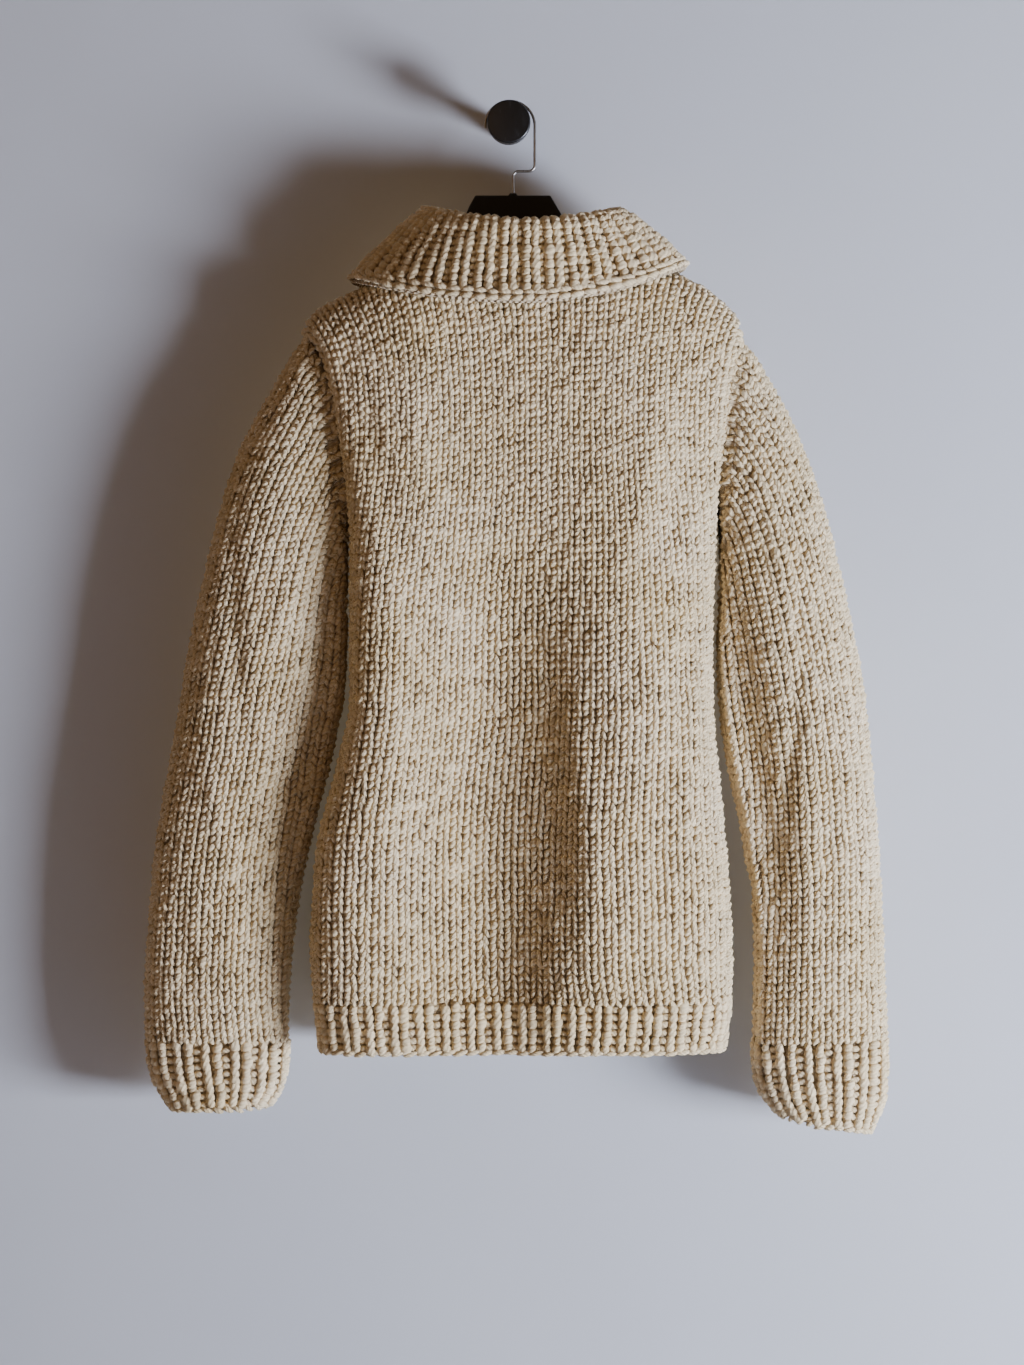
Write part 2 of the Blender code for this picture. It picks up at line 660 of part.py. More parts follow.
def hanger_piece():
    """A flat moulded hanger: a low trapezoid in the neck and two arms under the shoulders."""
    ferrule_left = HOOK_SHANK_X - FERRULE_HALF_WIDTH
    ferrule_right = HOOK_SHANK_X + FERRULE_HALF_WIDTH
    ferrule_top = HANGER_TOP_Z + FERRULE_RISE
    top = [(-56.0, -134.0), (-45.0, -98.0), (-34.0, -72.0), (-29.0, HANGER_TOP_Z),
           (ferrule_left, HANGER_TOP_Z), (ferrule_left, ferrule_top),
           (ferrule_right, ferrule_top), (ferrule_right, HANGER_TOP_Z),
           (36.0, HANGER_TOP_Z), (46.0, -80.0), (66.0, -104.0), (79.0, -130.0)]
    left_xs = [-160, -150, -136, -120, -100, -82]
    right_xs = [100, 118, 136, 154, 170, 182]
    left = [(x, shoulder_z(x) - HANGER_DROP) for x in left_xs]
    right = [(x, shoulder_z(x) - HANGER_DROP) for x in right_xs]
    upper = left + top + right
    lower = [(x, z - HANGER_DEPTH) for x, z in right[::-1]]
    lower += [(70.0, -140.0), (40.0, -122.0), (4.0, -116.0), (-30.0, -122.0), (-56.0, -148.0)]
    lower += [(x, z - HANGER_DEPTH) for x, z in left[::-1]]
    mesh_maker = bmesh.new()
    face = mesh_maker.faces.new([
        mesh_maker.verts.new(Vector((x, HANG_Y - HANGER_HALF_THICKNESS, z)) * MM)
        for x, z in upper + lower])
    grown = bmesh.ops.extrude_face_region(mesh_maker, geom=[face])
    moved = [v for v in grown["geom"] if isinstance(v, bmesh.types.BMVert)]
    bmesh.ops.translate(mesh_maker, verts=moved,
                        vec=Vector((0, 2 * HANGER_HALF_THICKNESS, 0)) * MM)
    bmesh.ops.recalc_face_normals(mesh_maker, faces=mesh_maker.faces)
    hanger = finish_object("hanger", mesh_maker, BLACK_PLASTIC, 0.55, 0.0)
    bevel = hanger.modifiers.new("soft edges", "BEVEL")
    bevel.width = HANGER_BEVEL * MM
    bevel.segments = 1
    bevel.limit_method = "ANGLE"
    bevel.angle_limit = SHARP_ANGLE


def arc(centre, radius, start, end, steps):
    """Points of an arc in the hanger's plane; angles in radians, 0 to the right."""
    return [(centre[0] + radius * cos(mix(start, end, i / steps)),
             centre[1] + radius * sin(mix(start, end, i / steps))) for i in range(steps + 1)]


def hook_piece():
    """The steel hook: over the peg, down its right side and back to the hanger's middle."""
    right_x = HOOK_CENTRE[0] + HOOK_RADIUS
    low = HOOK_RIGHT_BOTTOM_Z
    path = arc(HOOK_CENTRE, HOOK_RADIUS, pi * HOOK_START, 0.0, HOOK_STEPS)
    path += arc((right_x - HOOK_BEND, low + HOOK_BEND), HOOK_BEND, 0.0, -pi / 2, BEND_STEPS)
    path += arc((HOOK_SHANK_X + HOOK_BEND, low - HOOK_BEND), HOOK_BEND, pi / 2, pi, BEND_STEPS)
    path.append((HOOK_SHANK_X, HANGER_TOP_Z + FERRULE_RISE + SEAM_GAP))
    wire = bpy.data.curves.new("hanger_hook", "CURVE")
    wire.dimensions = "3D"
    wire.bevel_depth = WIRE_RADIUS * MM
    wire.bevel_resolution = 2
    wire.use_fill_caps = True
    line = wire.splines.new("POLY")
    line.points.add(len(path) - 1)
    for spot, (x, z) in zip(line.points, path):
        spot.co = (x * MM, HANG_Y * MM, z * MM, 1.0)
    hook = bpy.data.objects.new("hanger_hook", wire)
    bpy.context.collection.objects.link(hook)
    wire.materials.append(surface("hanger_hook", STEEL, 0.3, 1.0))


def peg_piece():
    """The turned wall peg: a stem from the wall, the hook's seat and a wider round head."""
    profile = [(0.0, 0.0), (PEG_STEM_RADIUS, 0.0), (PEG_STEM_RADIUS, -PEG_SEAT_START),
               (PEG_SEAT_RADIUS, -PEG_SEAT_START), (PEG_SEAT_RADIUS, -PEG_HEAD_START),
               (PEG_HEAD_RADIUS, -PEG_HEAD_START), (PEG_HEAD_RADIUS, -PEG_LENGTH + PEG_ROUNDING),
               (PEG_HEAD_RADIUS - PEG_ROUNDING, -PEG_LENGTH), (0.0, -PEG_LENGTH)]
    mesh_maker = bmesh.new()
    spots = [mesh_maker.verts.new(Vector((r, y, 0)) * MM) for r, y in profile]
    edges = [mesh_maker.edges.new(pair) for pair in zip(spots, spots[1:])]
    bmesh.ops.spin(mesh_maker, geom=spots + edges, cent=(0, 0, 0), axis=(0, 1, 0),
                   angle=2 * pi, steps=PEG_SEGMENTS, use_merge=True, use_duplicate=False)
    bmesh.ops.remove_doubles(mesh_maker, verts=mesh_maker.verts, dist=0.00001)
    bmesh.ops.recalc_face_normals(mesh_maker, faces=mesh_maker.faces)
    finish_object("wall_peg", mesh_maker, BLACK_PLASTIC, 0.4, 0.0)


def main():
    for thing in list(bpy.data.objects):
        bpy.data.objects.remove(thing, do_unlink=True)
    back_edge = panel_piece("back")
    front_edge = panel_piece("front")
    hem_piece("back", BACK_RIBS)
    hem_piece("front", FRONT_RIBS)
    sleeve_piece("left", LEFT_SLEEVE)
    sleeve_piece("right", RIGHT_SLEEVE)
    cuff_piece("left", LEFT_CUFF)
    cuff_piece("right", RIGHT_CUFF)
    collar_piece(back_edge, front_edge)
    hanger_piece()
    hook_piece()
    peg_piece()


main()
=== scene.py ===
"""Looks of a hand-knit wool sweater that hangs, back outwards, from a hanger and a wall peg.

Every sheet of cloth is a thin wall on its solid's form with the yarn of each stitch laid on
it. Cloth sizes are in millimetres and become metres where a mesh is made. The left and the
right are those of someone who looks at the garment's back.
"""
from math import cos, pi, radians, sin

import bpy
import numpy as np
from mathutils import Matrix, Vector


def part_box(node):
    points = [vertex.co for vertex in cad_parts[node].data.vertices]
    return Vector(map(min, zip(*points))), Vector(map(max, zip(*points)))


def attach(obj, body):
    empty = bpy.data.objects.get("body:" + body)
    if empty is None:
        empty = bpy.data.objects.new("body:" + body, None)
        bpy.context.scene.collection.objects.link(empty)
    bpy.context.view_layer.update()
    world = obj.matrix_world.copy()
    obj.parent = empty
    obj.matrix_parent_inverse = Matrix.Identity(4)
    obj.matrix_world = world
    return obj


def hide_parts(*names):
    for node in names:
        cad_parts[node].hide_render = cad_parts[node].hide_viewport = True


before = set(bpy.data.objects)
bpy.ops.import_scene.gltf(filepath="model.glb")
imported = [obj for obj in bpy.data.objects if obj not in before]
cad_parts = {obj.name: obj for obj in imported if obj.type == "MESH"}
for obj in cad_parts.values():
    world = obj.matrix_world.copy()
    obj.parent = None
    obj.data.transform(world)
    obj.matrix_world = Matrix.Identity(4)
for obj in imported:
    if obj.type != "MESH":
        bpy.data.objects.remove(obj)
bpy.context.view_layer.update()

bl_info = {
    "name": "Hand-knit sweater",
    "version": (1, 0, 0),
    "blender": (4, 5, 0),
    "location": "3D View > Sidebar > Sweater",
    "description": "Knits the sweater stitch by stitch and dresses its hanger and peg",
    "category": "Object",
}

MM = 0.001
BODY_NAME = "root"
SEED = 706

# The camera that gives the photograph's frame
IMAGE_HEIGHT = 1365
CAMERA_PLACE = (0.0028, -3.0, -0.4849)
SENSOR_LONG_SIDE = 36.0
FOCAL_PIXELS = 3389.6

# Name, place, what it is aimed at, width and height, watts and colour
LIGHTS = (
    ("window light", (2.0, -1.3, -1.5), (0.0, 0.0, -0.65), (1.0, 1.3), 318.0, "#E2EAFF"),
    ("room light", (-1.2, -2.6, 0.2), (0.0, 0.0, -0.5), (2.2, 2.2), 7.0, "#FFC68C"),
    ("light behind", (0.9, 2.4, 0.5), (0.0, 0.0, -0.5), (2.0, 2.0), 42.0, "#F4F6FF"),
)
ROOM_COLOR = "#FFD9B0"
ROOM_STRENGTH = 0.085
WALL_PLACE = (0.0, 0.001, 0.2)
WALL_SIZE = (6.0, 3.4)
FLOOR_PLACE = (0.0, 0.0, -1.5)
FLOOR_SIZE = (9.0, 9.0)

# The same named sizes as the solids have, in millimetres

HANG_Y = -60.0
HEM_BOTTOM = -803.0
HEM_TOP = -760.0
UNDERARM_Z = -378.0
TIP_Z = -190.0
NECK_LEFT_X = -68.0
NECK_RIGHT_X = 92.0
SHOULDER_COLUMNS = 7
NECK_COLUMNS = 8
PANEL_COLUMNS = 2 * SHOULDER_COLUMNS + NECK_COLUMNS
COLLAR_GAP = 0.95


def table(names, rows):
    """Rows with named columns, as one array for each name."""
    return {name: np.array([row[i] for row in rows], float) for i, name in enumerate(names)}


BODY = table(("z", "left_x", "right_x", "back_depth", "front_depth"), (
    (-803, -164, 188, 62, 46),
    (-760, -168, 193, 66, 49),
    (-718, -171, 194, 70, 50),
    (-631, -166, 189, 76, 50),
    (-552, -147, 181, 78, 48),
    (-500, -137, 177, 77, 47),
    (-439, -137, 177, 74, 45),
    (-378, -137, 180, 70, 42),
    (-300, -147, 186, 62, 37),
    (-239, -160, 193, 55, 32),
    (-205, -174, 200, 50, 29),
    (-190, -182, 206, 48, 28),
    (-134, -208, 226, 43, 26),
))
SHOULDER = table(("x", "z"), (
    (-182, -190), (-177, -176), (-164, -161), (-138, -148), (-105, -133), (-68, -117),
    (92, -112), (125, -122), (158, -137), (180, -151), (198, -170), (206, -190),
))
FOLD_COLUMNS = ("z", "trough_x", "trough_depth", "left_crest_x", "right_crest_x")
BACK_FOLD = table(FOLD_COLUMNS, (
    (-803, -12, 16, -135, 70),
    (-740, -12, 24, -137, 70),
    (-631, -8, 30, -137, 88),
    (-552, -8, 30, -132, 112),
    (-480, -6, 27, -128, 122),
    (-378, -10, 18, -124, 128),
    (-300, -14, 9, -124, 132),
    (-230, -14, 3, -124, 132),
    (-134, -14, 0, -124, 132),
))
FRONT_FOLD = table(FOLD_COLUMNS, (
    (-803, 30, 9, -110, 130),
    (-600, 24, 11, -105, 130),
    (-378, 16, 6, -100, 125),
    (-134, 12, 0, -100, 125),
))
BACK_LEFT_SQUARE = 5.0
BACK_RIGHT_SQUARE = 3.0
FRONT_SQUARE = 3.2
ARMHOLE_DEPTH = {"back": 33.0, "front": 24.0}
TIP_EDGE_SHARE = 0.85
RIDGE_START = 0.6
SHOULDER_SQUARE = 3.0
UNDERARM_SQUARE = 2.0
NECK_DEPTH = {"back": 40.0, "front": 27.0}
NECK_DROP = {"back": 19.0, "front": 42.0}

SLEEVE_COLUMNS = ("outer_x", "outer_z", "inner_x", "inner_z", "back_depth", "front_depth", "groove")
SLEEVES = {
    "left": table(SLEEVE_COLUMNS, (
        (-202, -225, -139, -404, 36, 26, 1),
        (-222, -260, -139, -430, 39, 29, 3),
        (-239, -299, -140, -457, 41, 32, 5),
        (-255, -352, -142, -491, 43, 34, 7),
        (-267, -404, -148, -526, 43, 35, 8),
        (-278, -457, -155, -560, 42, 36, 8),
        (-289, -526, -166, -601, 41, 36, 7),
        (-299, -579, -175, -640, 40, 36, 6),
        (-308, -640, -182, -679, 39, 35, 5),
        (-313, -701, -187, -719, 37, 34, 4),
        (-316, -749, -190, -762, 35, 32, 2),
        (-315, -795, -190, -795, 32, 29, 0),
    )),
    "right": table(SLEEVE_COLUMNS, (
        (224, -219, 182, -406, 36, 26, 2),
        (241, -249, 181, -432, 39, 29, 5),
        (259, -291, 180, -461, 41, 32, 8),
        (272, -330, 181, -491, 43, 34, 11),
        (284, -374, 185, -531, 44, 35, 13),
        (295, -422, 191, -566, 44, 36, 14),
        (305, -474, 198, -598, 43, 36, 14),
        (313, -535, 204, -631, 42, 36, 13),
        (318, -596, 209, -666, 41, 36, 11),
        (322, -649, 212, -701, 39, 35, 8),
        (325, -710, 212, -740, 37, 33, 4),
        (329, -793, 210, -797, 33, 30, 0),
    )),
}
CUFFS = {
    "left": table(SLEEVE_COLUMNS, (
        (-315, -795, -190, -795, 32, 29, 0),
        (-313, -815, -191, -815, 31, 28, 0),
        (-306, -836, -195, -836, 29, 27, 0),
        (-294, -856, -207, -853, 27, 25, 0),
    )),
    "right": table(SLEEVE_COLUMNS, (
        (329, -793, 210, -797, 33, 30, 0),
        (329, -819, 212, -822, 32, 29, 0),
        (326, -848, 219, -844, 30, 28, 0),
        (316, -876, 234, -862, 28, 26, 0),
    )),
}
SLEEVE_SQUARE = 2.3
GROOVE_ANGLE = 0.95
GROOVE_WIDTH = 0.42

COLLAR_CENTRE_X = 12.0
COLLAR = table(("left", "right", "back", "front",
                "z_left", "z_right", "z_back", "z_front", "even"), (
    (79, 79, 40, 27, -100, -97, -112, -128, 0),
    (79, 79, 41, 27, -84, -84, -98, -112, 0),
    (80, 80, 42, 28, -79, -80, -93, -107, 0),
    (85, 85, 47, 33, -76, -77, -91, -105, 0),
    (90, 90, 52, 38, -80, -80, -94, -109, 0.02),
    (106, 103, 56, 41, -93, -89, -110, -122, 0.1),
    (129, 125, 61, 44, -115, -107, -136, -141, 0.21),
    (150, 143, 66, 47, -137, -125, -162, -158, 0.3),
))
COLLAR_HALF_WALL = 4.0

WIRE_RADIUS = 1.2
HOOK_CENTRE = (1.0, -2.0)
HOOK_RADIUS = 21.5
HOOK_START = 1.03
HOOK_BEND = 5.0
HOOK_SHANK_X = 3.7
HOOK_LEVEL_Z = -41.5
PEG_STEM_RADIUS = 8.0
PEG_SEAT_RADIUS = 18.0
PEG_SEAT_START = 55.0
PEG_HEAD_RADIUS = 18.8
PEG_HEAD_START = 64.0
PEG_LENGTH = 72.0
PEG_SIDES = 96
PEG_FRONT_ROUNDING = 1.5
PEG_BACK_ROUNDING = 0.35

# Soft creases listed for a panel: middle, half length up and down, half width, how far
# the crease's top leans to the right, and depth (a ridge where it is negative)
CREASE_COLUMNS = ("x", "z", "half_length", "half_width", "lean", "depth")
BACK_CREASES = table(CREASE_COLUMNS, (
    (-104, -330, 95, 15, -22, 3.0),
    (-70, -290, 70, 14, -10, -2.0),
    (146, -345, 90, 15, 20, 3.4),
    (118, -300, 70, 13, 12, -2.2),
    (152, -470, 80, 12, 8, 2.6),
    (-98, -560, 95, 14, 6, -2.4),
    (-118, -690, 60, 12, -6, 2.2),
    (44, -640, 110, 15, -14, 3.2),
    (62, -560, 90, 12, -10, -2.4),
    (96, -700, 70, 14, 6, -2.6),
    (128, -640, 80, 12, 5, 2.0),
    (-48, -720, 60, 13, 4, -2.0),
))
FRONT_CREASES = table(CREASE_COLUMNS, (
    (-96, -350, 90, 15, -18, 2.6),
    (138, -350, 90, 15, 18, 2.8),
    (-60, -600, 110, 15, 8, 2.4),
    (86, -640, 100, 16, -8, -2.2),
    (120, -500, 80, 13, 8, 2.2),
    (-20, -690, 70, 13, -4, -2.0),
))
# The same on a sleeve: place along it and round it as shares, half sizes in millimetres
SLEEVE_CREASE_COLUMNS = ("along", "round", "half_length", "half_width", "lean", "depth")
SLEEVE_CREASES = {
    "left": table(SLEEVE_CREASE_COLUMNS, (
        (0.42, 0.36, 60, 12, -30, 2.6),
        (0.55, 0.16, 55, 12, 34, 3.2),
        (0.64, 0.30, 48, 11, -26, -2.2),
        (0.72, 0.20, 60, 12, 20, 2.8),
        (0.30, 0.28, 60, 13, 10, -2.0),
        (0.86, 0.30, 45, 12, -10, 2.0),
        (0.50, 0.70, 60, 13, 25, 2.8),
        (0.70, 0.82, 55, 12, -22, 2.4),
    )),
    "right": table(SLEEVE_CREASE_COLUMNS, (
        (0.40, 0.34, 60, 12, 24, 2.6),
        (0.52, 0.20, 55, 12, -30, 3.0),
        (0.62, 0.33, 50, 11, 22, -2.4),
        (0.72, 0.22, 60, 12, -16, 2.6),
        (0.28, 0.30, 60, 13, -8, -2.2),
        (0.84, 0.30, 45, 12, 12, 2.0),
        (0.50, 0.72, 60, 13, -24, 2.8),
        (0.68, 0.84, 55, 12, 20, 2.4),
    )),
}

# The broad hollow down the middle of the back, which is deepest a little left of it
HOLLOW_DEPTH = 15.0
HOLLOW_LEFT_X = -127.0
HOLLOW_FLOOR_X = -17.0
HOLLOW_RIGHT_X = 82.0
HOLLOW_Z = (-790.0, -715.0, -500.0, -330.0)    # from none at the hem to none at the shoulders
HOLLOW_STRENGTH = (0.0, 1.0, 1.0, 0.0)

SEAM_GROOVE = 2.6       # how deep the cloth is drawn in along a seam
SEAM_WIDTH = 6.0
SEAM_TURN = {"left": -0.15, "right": 0.22}   # where the sleeve's own seam lies, in radians
EVEN_SLEEVE_ROW = 7     # the ring on which a sleeve's wales lie an equal way apart
SLEEVE_TUCK = 7.5       # how far a sleeve goes on under the panels' edges
YARN_FLAT = 0.82        # the yarn's thickness over its width, pressed flat by its neighbours
YARN_SINK = 3.6         # from the cloth's outer face to the wall that carries the yarn
SHELL_WALL = 2.2
RIB_SINK = 5.6
PANEL_GRID = (64, 56)   # rows and columns of the wall that carries the yarn
SLEEVE_GRID = (60, 48)
BAND_ROWS = 8
COLLAR_ROWS = 30
COLUMNS_A_RIB = 4
SIDE_FADE = 30.0        # over which the panels' creases fade in from their sides
SEAM_FADE = 60.0        # over which a sleeve's creases fade in from the armhole
CUFF_FADE = 40.0
EDGE_WALE = 0.38        # first wale's way in from an edge or seam, in wale widths
FIRST_INNER_WALE = 0.85     # from how far in the other wales are laid, in wale widths
PITCH_REACH = 14        # rows over which a panel's wale spacing is evened out
UPWARD_REACH = 8


def curve(t, start, end, start_slope, end_slope):
    """A cubic curve from start to end, at shares t of its span, with its slopes a span."""
    return ((2 * t ** 3 - 3 * t ** 2 + 1) * start + (t ** 3 - 2 * t ** 2 + t) * start_slope
            + (3 * t ** 2 - 2 * t ** 3) * end + (t ** 3 - t ** 2) * end_slope)


def way_along(points):
    """Way of each point from the first one, along the line that joins them."""
    return np.concatenate([[0.0], np.cumsum(np.linalg.norm(np.diff(points, axis=0), axis=1))])


def read(tab, key, name, at):
    """A column's values at places along the key column, on a smooth curve without overshoot."""
    xs = tab[key]
    ys = tab[name]
    if xs[0] > xs[-1]:
        xs = xs[::-1]
        ys = ys[::-1]
    at = np.clip(np.asarray(at, float), xs[0], xs[-1])
    i = np.clip(np.searchsorted(xs, at) - 1, 0, len(xs) - 2)
    step = np.diff(xs)
    secant = np.diff(ys) / step
    before = secant[:-1]
    after = secant[1:]
    same = before * after > 0
    inner = np.where(same, 2 * before * after / np.where(same, before + after, 1.0), 0.0)
    tangent = np.concatenate([secant[:1], inner, secant[-1:]])
    t = (at - xs[i]) / step[i]
    return curve(t, ys[i], ys[i + 1], step[i] * tangent[i], step[i] * tangent[i + 1])


def mix(a, b, share):
    return a + (b - a) * share


def signed_power(value, power):
    return np.abs(value) ** power * np.where(value >= 0, 1.0, -1.0)


def unit(vectors):
    return vectors / np.maximum(np.linalg.norm(vectors, axis=-1, keepdims=True), 1e-9)


# Surfaces of the cloth

def top_edge(x, face):
    """Height of a panel's top edge and its distance from the seam plane."""
    middle = (NECK_LEFT_X + NECK_RIGHT_X) / 2
    t = (x - middle) / ((NECK_RIGHT_X - NECK_LEFT_X) / 2)
    share = np.sqrt(np.maximum(0.0, 1 - t * t))
    return read(SHOULDER, "x", "z", x) - NECK_DROP[face] * share ** 2, NECK_DEPTH[face] * share


def fold_depth(x, z, face):
    fold = BACK_FOLD if face == "back" else FRONT_FOLD
    trough_x = read(fold, "z", "trough_x", z)
    crest = np.where(x < trough_x, read(fold, "z", "left_crest_x", z),
                     read(fold, "z", "right_crest_x", z))
    distance = np.minimum(np.abs((x - trough_x) / (crest - trough_x)), 1.0)
    return read(fold, "z", "trough_depth", z) * (0.5 + 0.5 * np.cos(pi * distance))


def crease_depth(tab, across, along, across_name, along_name):
    """Depth of the listed creases at places across and along a piece, in millimetres."""
    depth = np.zeros(np.broadcast(across, along).shape)
    for i in range(len(tab["depth"])):
        up = (along - tab[along_name][i]) / tab["half_length"][i]
        side = across - tab[across_name][i] - tab["lean"][i] * up
        wander = 3.0 * np.sin(2.2 * up + i)
        depth += (tab["depth"][i] * np.exp(-up ** 2)
                  * np.exp(-((side + wander) / tab["half_width"][i]) ** 2))
    return depth


def section_depth(x, left, right, z, face, edge_depth):
    full = read(BODY, "z", face + "_depth", z)
    t = (2 * x - left - right) / (right - left)
    square = FRONT_SQUARE
    if face == "back":
        square = np.where(t < 0, BACK_LEFT_SQUARE, BACK_RIGHT_SQUARE)
    edge_t = np.maximum(0.0, 1 - (edge_depth / full) ** square) ** (1 / square)
    round_part = full * np.maximum(0.0, 1 - (np.abs(t) * edge_t) ** square) ** (1 / square)
    return round_part - fold_depth(x, z, face) * (1 - np.abs(t) ** 8)


def ridge(climb):
    way = np.clip((climb - RIDGE_START) / (1 - RIDGE_START), 0.0, 1.0)
    return (1 - way ** SHOULDER_SQUARE) ** (1 / SHOULDER_SQUARE)


def armhole_depth(climb, face):
    square = np.where(climb < 0.5, UNDERARM_SQUARE, SHOULDER_SQUARE)
    rounded = np.maximum(0.0, 1 - np.abs(1 - 2 * climb) ** square)
    return ARMHOLE_DEPTH[face] * rounded ** (1 / square)


def panel_row(z_low, climb, face, shares, samples=241):
    """Points of one panel row at the given shares of its length."""
    out = -1 if face == "back" else 1
    edge_z = mix(UNDERARM_Z, TIP_Z, climb) if climb > 0 else z_low
    left = float(read(BODY, "z", "left_x", edge_z))
    right = float(read(BODY, "z", "right_x", edge_z))
    depth_z = mix(z_low, BODY["z"][-1], climb)
    over = float(ridge(climb))
    edge_depth = 0.0
    if 0 < climb < 1:
        edge_depth = float(armhole_depth(climb, face)) / over
    elif climb == 1:
        edge_depth = TIP_EDGE_SHARE * ARMHOLE_DEPTH[face]

    def points(x):
        top_z, top_depth = top_edge(x, face)
        depth = section_depth(x, left, right, depth_z, face, edge_depth)
        depth = top_depth * climb ** 3 * (1 - over) + depth * over
        z = mix(z_low, top_z, climb)
        creases = BACK_CREASES if face == "back" else FRONT_CREASES
        side = np.minimum(x - left, right - x) / SIDE_FADE
        depth = depth - crease_depth(creases, x, z, "x", "z") * np.clip(side, 0, 1) * over
        return np.stack([x, HANG_Y + out * np.maximum(depth, 0.0), z], -1)

    xs = mix(left, right, 0.5 - 0.5 * np.cos(pi * np.linspace(0, 1, samples)))
    if climb == 1:
        return points(mix(left, right, shares))
    walked = way_along(points(xs))
    return points(np.interp(shares * walked[-1], walked, xs))


def panel_shares(climb, columns):
    """Column places of a row: even at the sides of the body, on the neck points at the top."""
    even = np.linspace(0, 1, columns)
    left = SHOULDER["x"][0]
    right = SHOULDER["x"][-1]
    place = even * PANEL_COLUMNS
    neck = np.clip((place - SHOULDER_COLUMNS) / NECK_COLUMNS, 0, 1)
    top = np.where(
        place < SHOULDER_COLUMNS, mix(left, NECK_LEFT_X, place / SHOULDER_COLUMNS),
        np.where(place <= SHOULDER_COLUMNS + NECK_COLUMNS,
                 mix(NECK_LEFT_X, NECK_RIGHT_X, 0.5 - 0.5 * np.cos(pi * neck)),
                 mix(NECK_RIGHT_X, right,
                     (place - SHOULDER_COLUMNS - NECK_COLUMNS) / SHOULDER_COLUMNS)))
    return mix(even, (top - left) / (right - left), climb ** 2)


def panel_points(face, columns=161, low_rows=70, high_rows=60):
    rows = [panel_row(z, 0.0, face, panel_shares(0.0, columns))
            for z in np.linspace(HEM_TOP, UNDERARM_Z, low_rows, endpoint=False)]
    climbs = np.sin(np.linspace(0, pi / 2, high_rows + 1))
    rows += [panel_row(UNDERARM_Z, min(c, 1.0), face, panel_shares(c, columns)) for c in climbs]
    return np.array(rows)


def hem_points(face, columns=161, rows=12):
    return np.array([panel_row(z, 0.0, face, np.linspace(0, 1, columns))
                     for z in np.linspace(HEM_BOTTOM, HEM_TOP, rows)])


def armhole_points(side, angles):
    climb = 0.5 - 0.5 * np.cos(angles)
    z = mix(UNDERARM_Z, TIP_Z, climb)
    depth = np.where(np.sin(angles) > 0, -armhole_depth(climb, "back"),
                     armhole_depth(climb, "front"))
    return np.stack([read(BODY, "z", side + "_x", z), HANG_Y + depth, z], -1)


def tube_points(tab, row, angles):
    """One ring of a sleeve or cuff, from its inner point over the back to the outer point."""
    outer = np.array([tab["outer_x"][row], HANG_Y, tab["outer_z"][row]])
    inner = np.array([tab["inner_x"][row], HANG_Y, tab["inner_z"][row]])
    reach = -signed_power(np.cos(angles), 2 / SLEEVE_SQUARE)
    swell = signed_power(np.sin(angles), 2 / SLEEVE_SQUARE)
    depth = np.where(swell > 0, tab["back_depth"][row] * swell, tab["front_depth"][row] * swell)
    depth = depth - tab["groove"][row] * np.exp(-((angles - GROOVE_ANGLE) / GROOVE_WIDTH) ** 2)
    points = (outer + inner) / 2 + (outer - inner) / 2 * reach[:, None]
    points[:, 1] -= depth
    return points


def smooth_rows(rings, count):
    """A finer grid on smooth curves through the same point of each ring."""
    steps = np.linalg.norm(np.diff(rings, axis=0), axis=2).mean(1)
    places = np.concatenate([[0.0], np.cumsum(steps)])
    slopes = np.gradient(rings, places, axis=0)
    at = np.linspace(0, places[-1], count)
    i = np.clip(np.searchsorted(places, at) - 1, 0, len(places) - 2)
    step = (places[i + 1] - places[i])[:, None, None]
    t = ((at - places[i]) / (places[i + 1] - places[i]))[:, None, None]
    return curve(t, rings[i], rings[i + 1], step * slopes[i], step * slopes[i + 1])


def even_angles(tab, row, side, columns):
    """Angles of points an equal way apart on one ring of the table, the same on all rings."""
    fine = np.linspace(0, 2 * pi, 16 * columns + 1)
    ring = tube_points(tab, row, np.mod(SEAM_TURN[side] + fine, 2 * pi))
    walked = way_along(ring)
    turns = np.interp(np.arange(columns) / columns * walked[-1], walked, fine)
    return np.mod(SEAM_TURN[side] + turns, 2 * pi)


def sleeve_points(side, columns=160, rows=120):
    """From the cuff up to the armhole, and a little further, tucked under the panels."""
    tab = SLEEVES[side]
    last = len(tab["outer_x"]) - 1
    angles = even_angles(tab, EVEN_SLEEVE_ROW, side, columns)
    rings = [armhole_points(side, angles)]
    rings += [tube_points(tab, row, angles) for row in range(last + 1)]
    grid = smooth_rows(np.array(rings[::-1]), rows)
    onward = (grid[-1] - grid[-2]) * (1.0, 0.0, 1.0)
    onward = unit(onward + unit(grid[-1].mean(0) - grid[-1]) * 0.2)
    tucked = [grid[-1] + onward * SLEEVE_TUCK * step / 3 for step in (1, 2, 3)]
    return np.concatenate([grid, np.array(tucked)])


def cuff_points(side, columns=160, rows=16):
    """From the cuff's free edge up to the sleeve."""
    tab = CUFFS[side]
    angles = even_angles(tab, 0, side, columns)
    rings = [tube_points(tab, row, angles) for row in range(len(tab["outer_x"]))]
    return smooth_rows(np.array(rings[::-1]), rows)


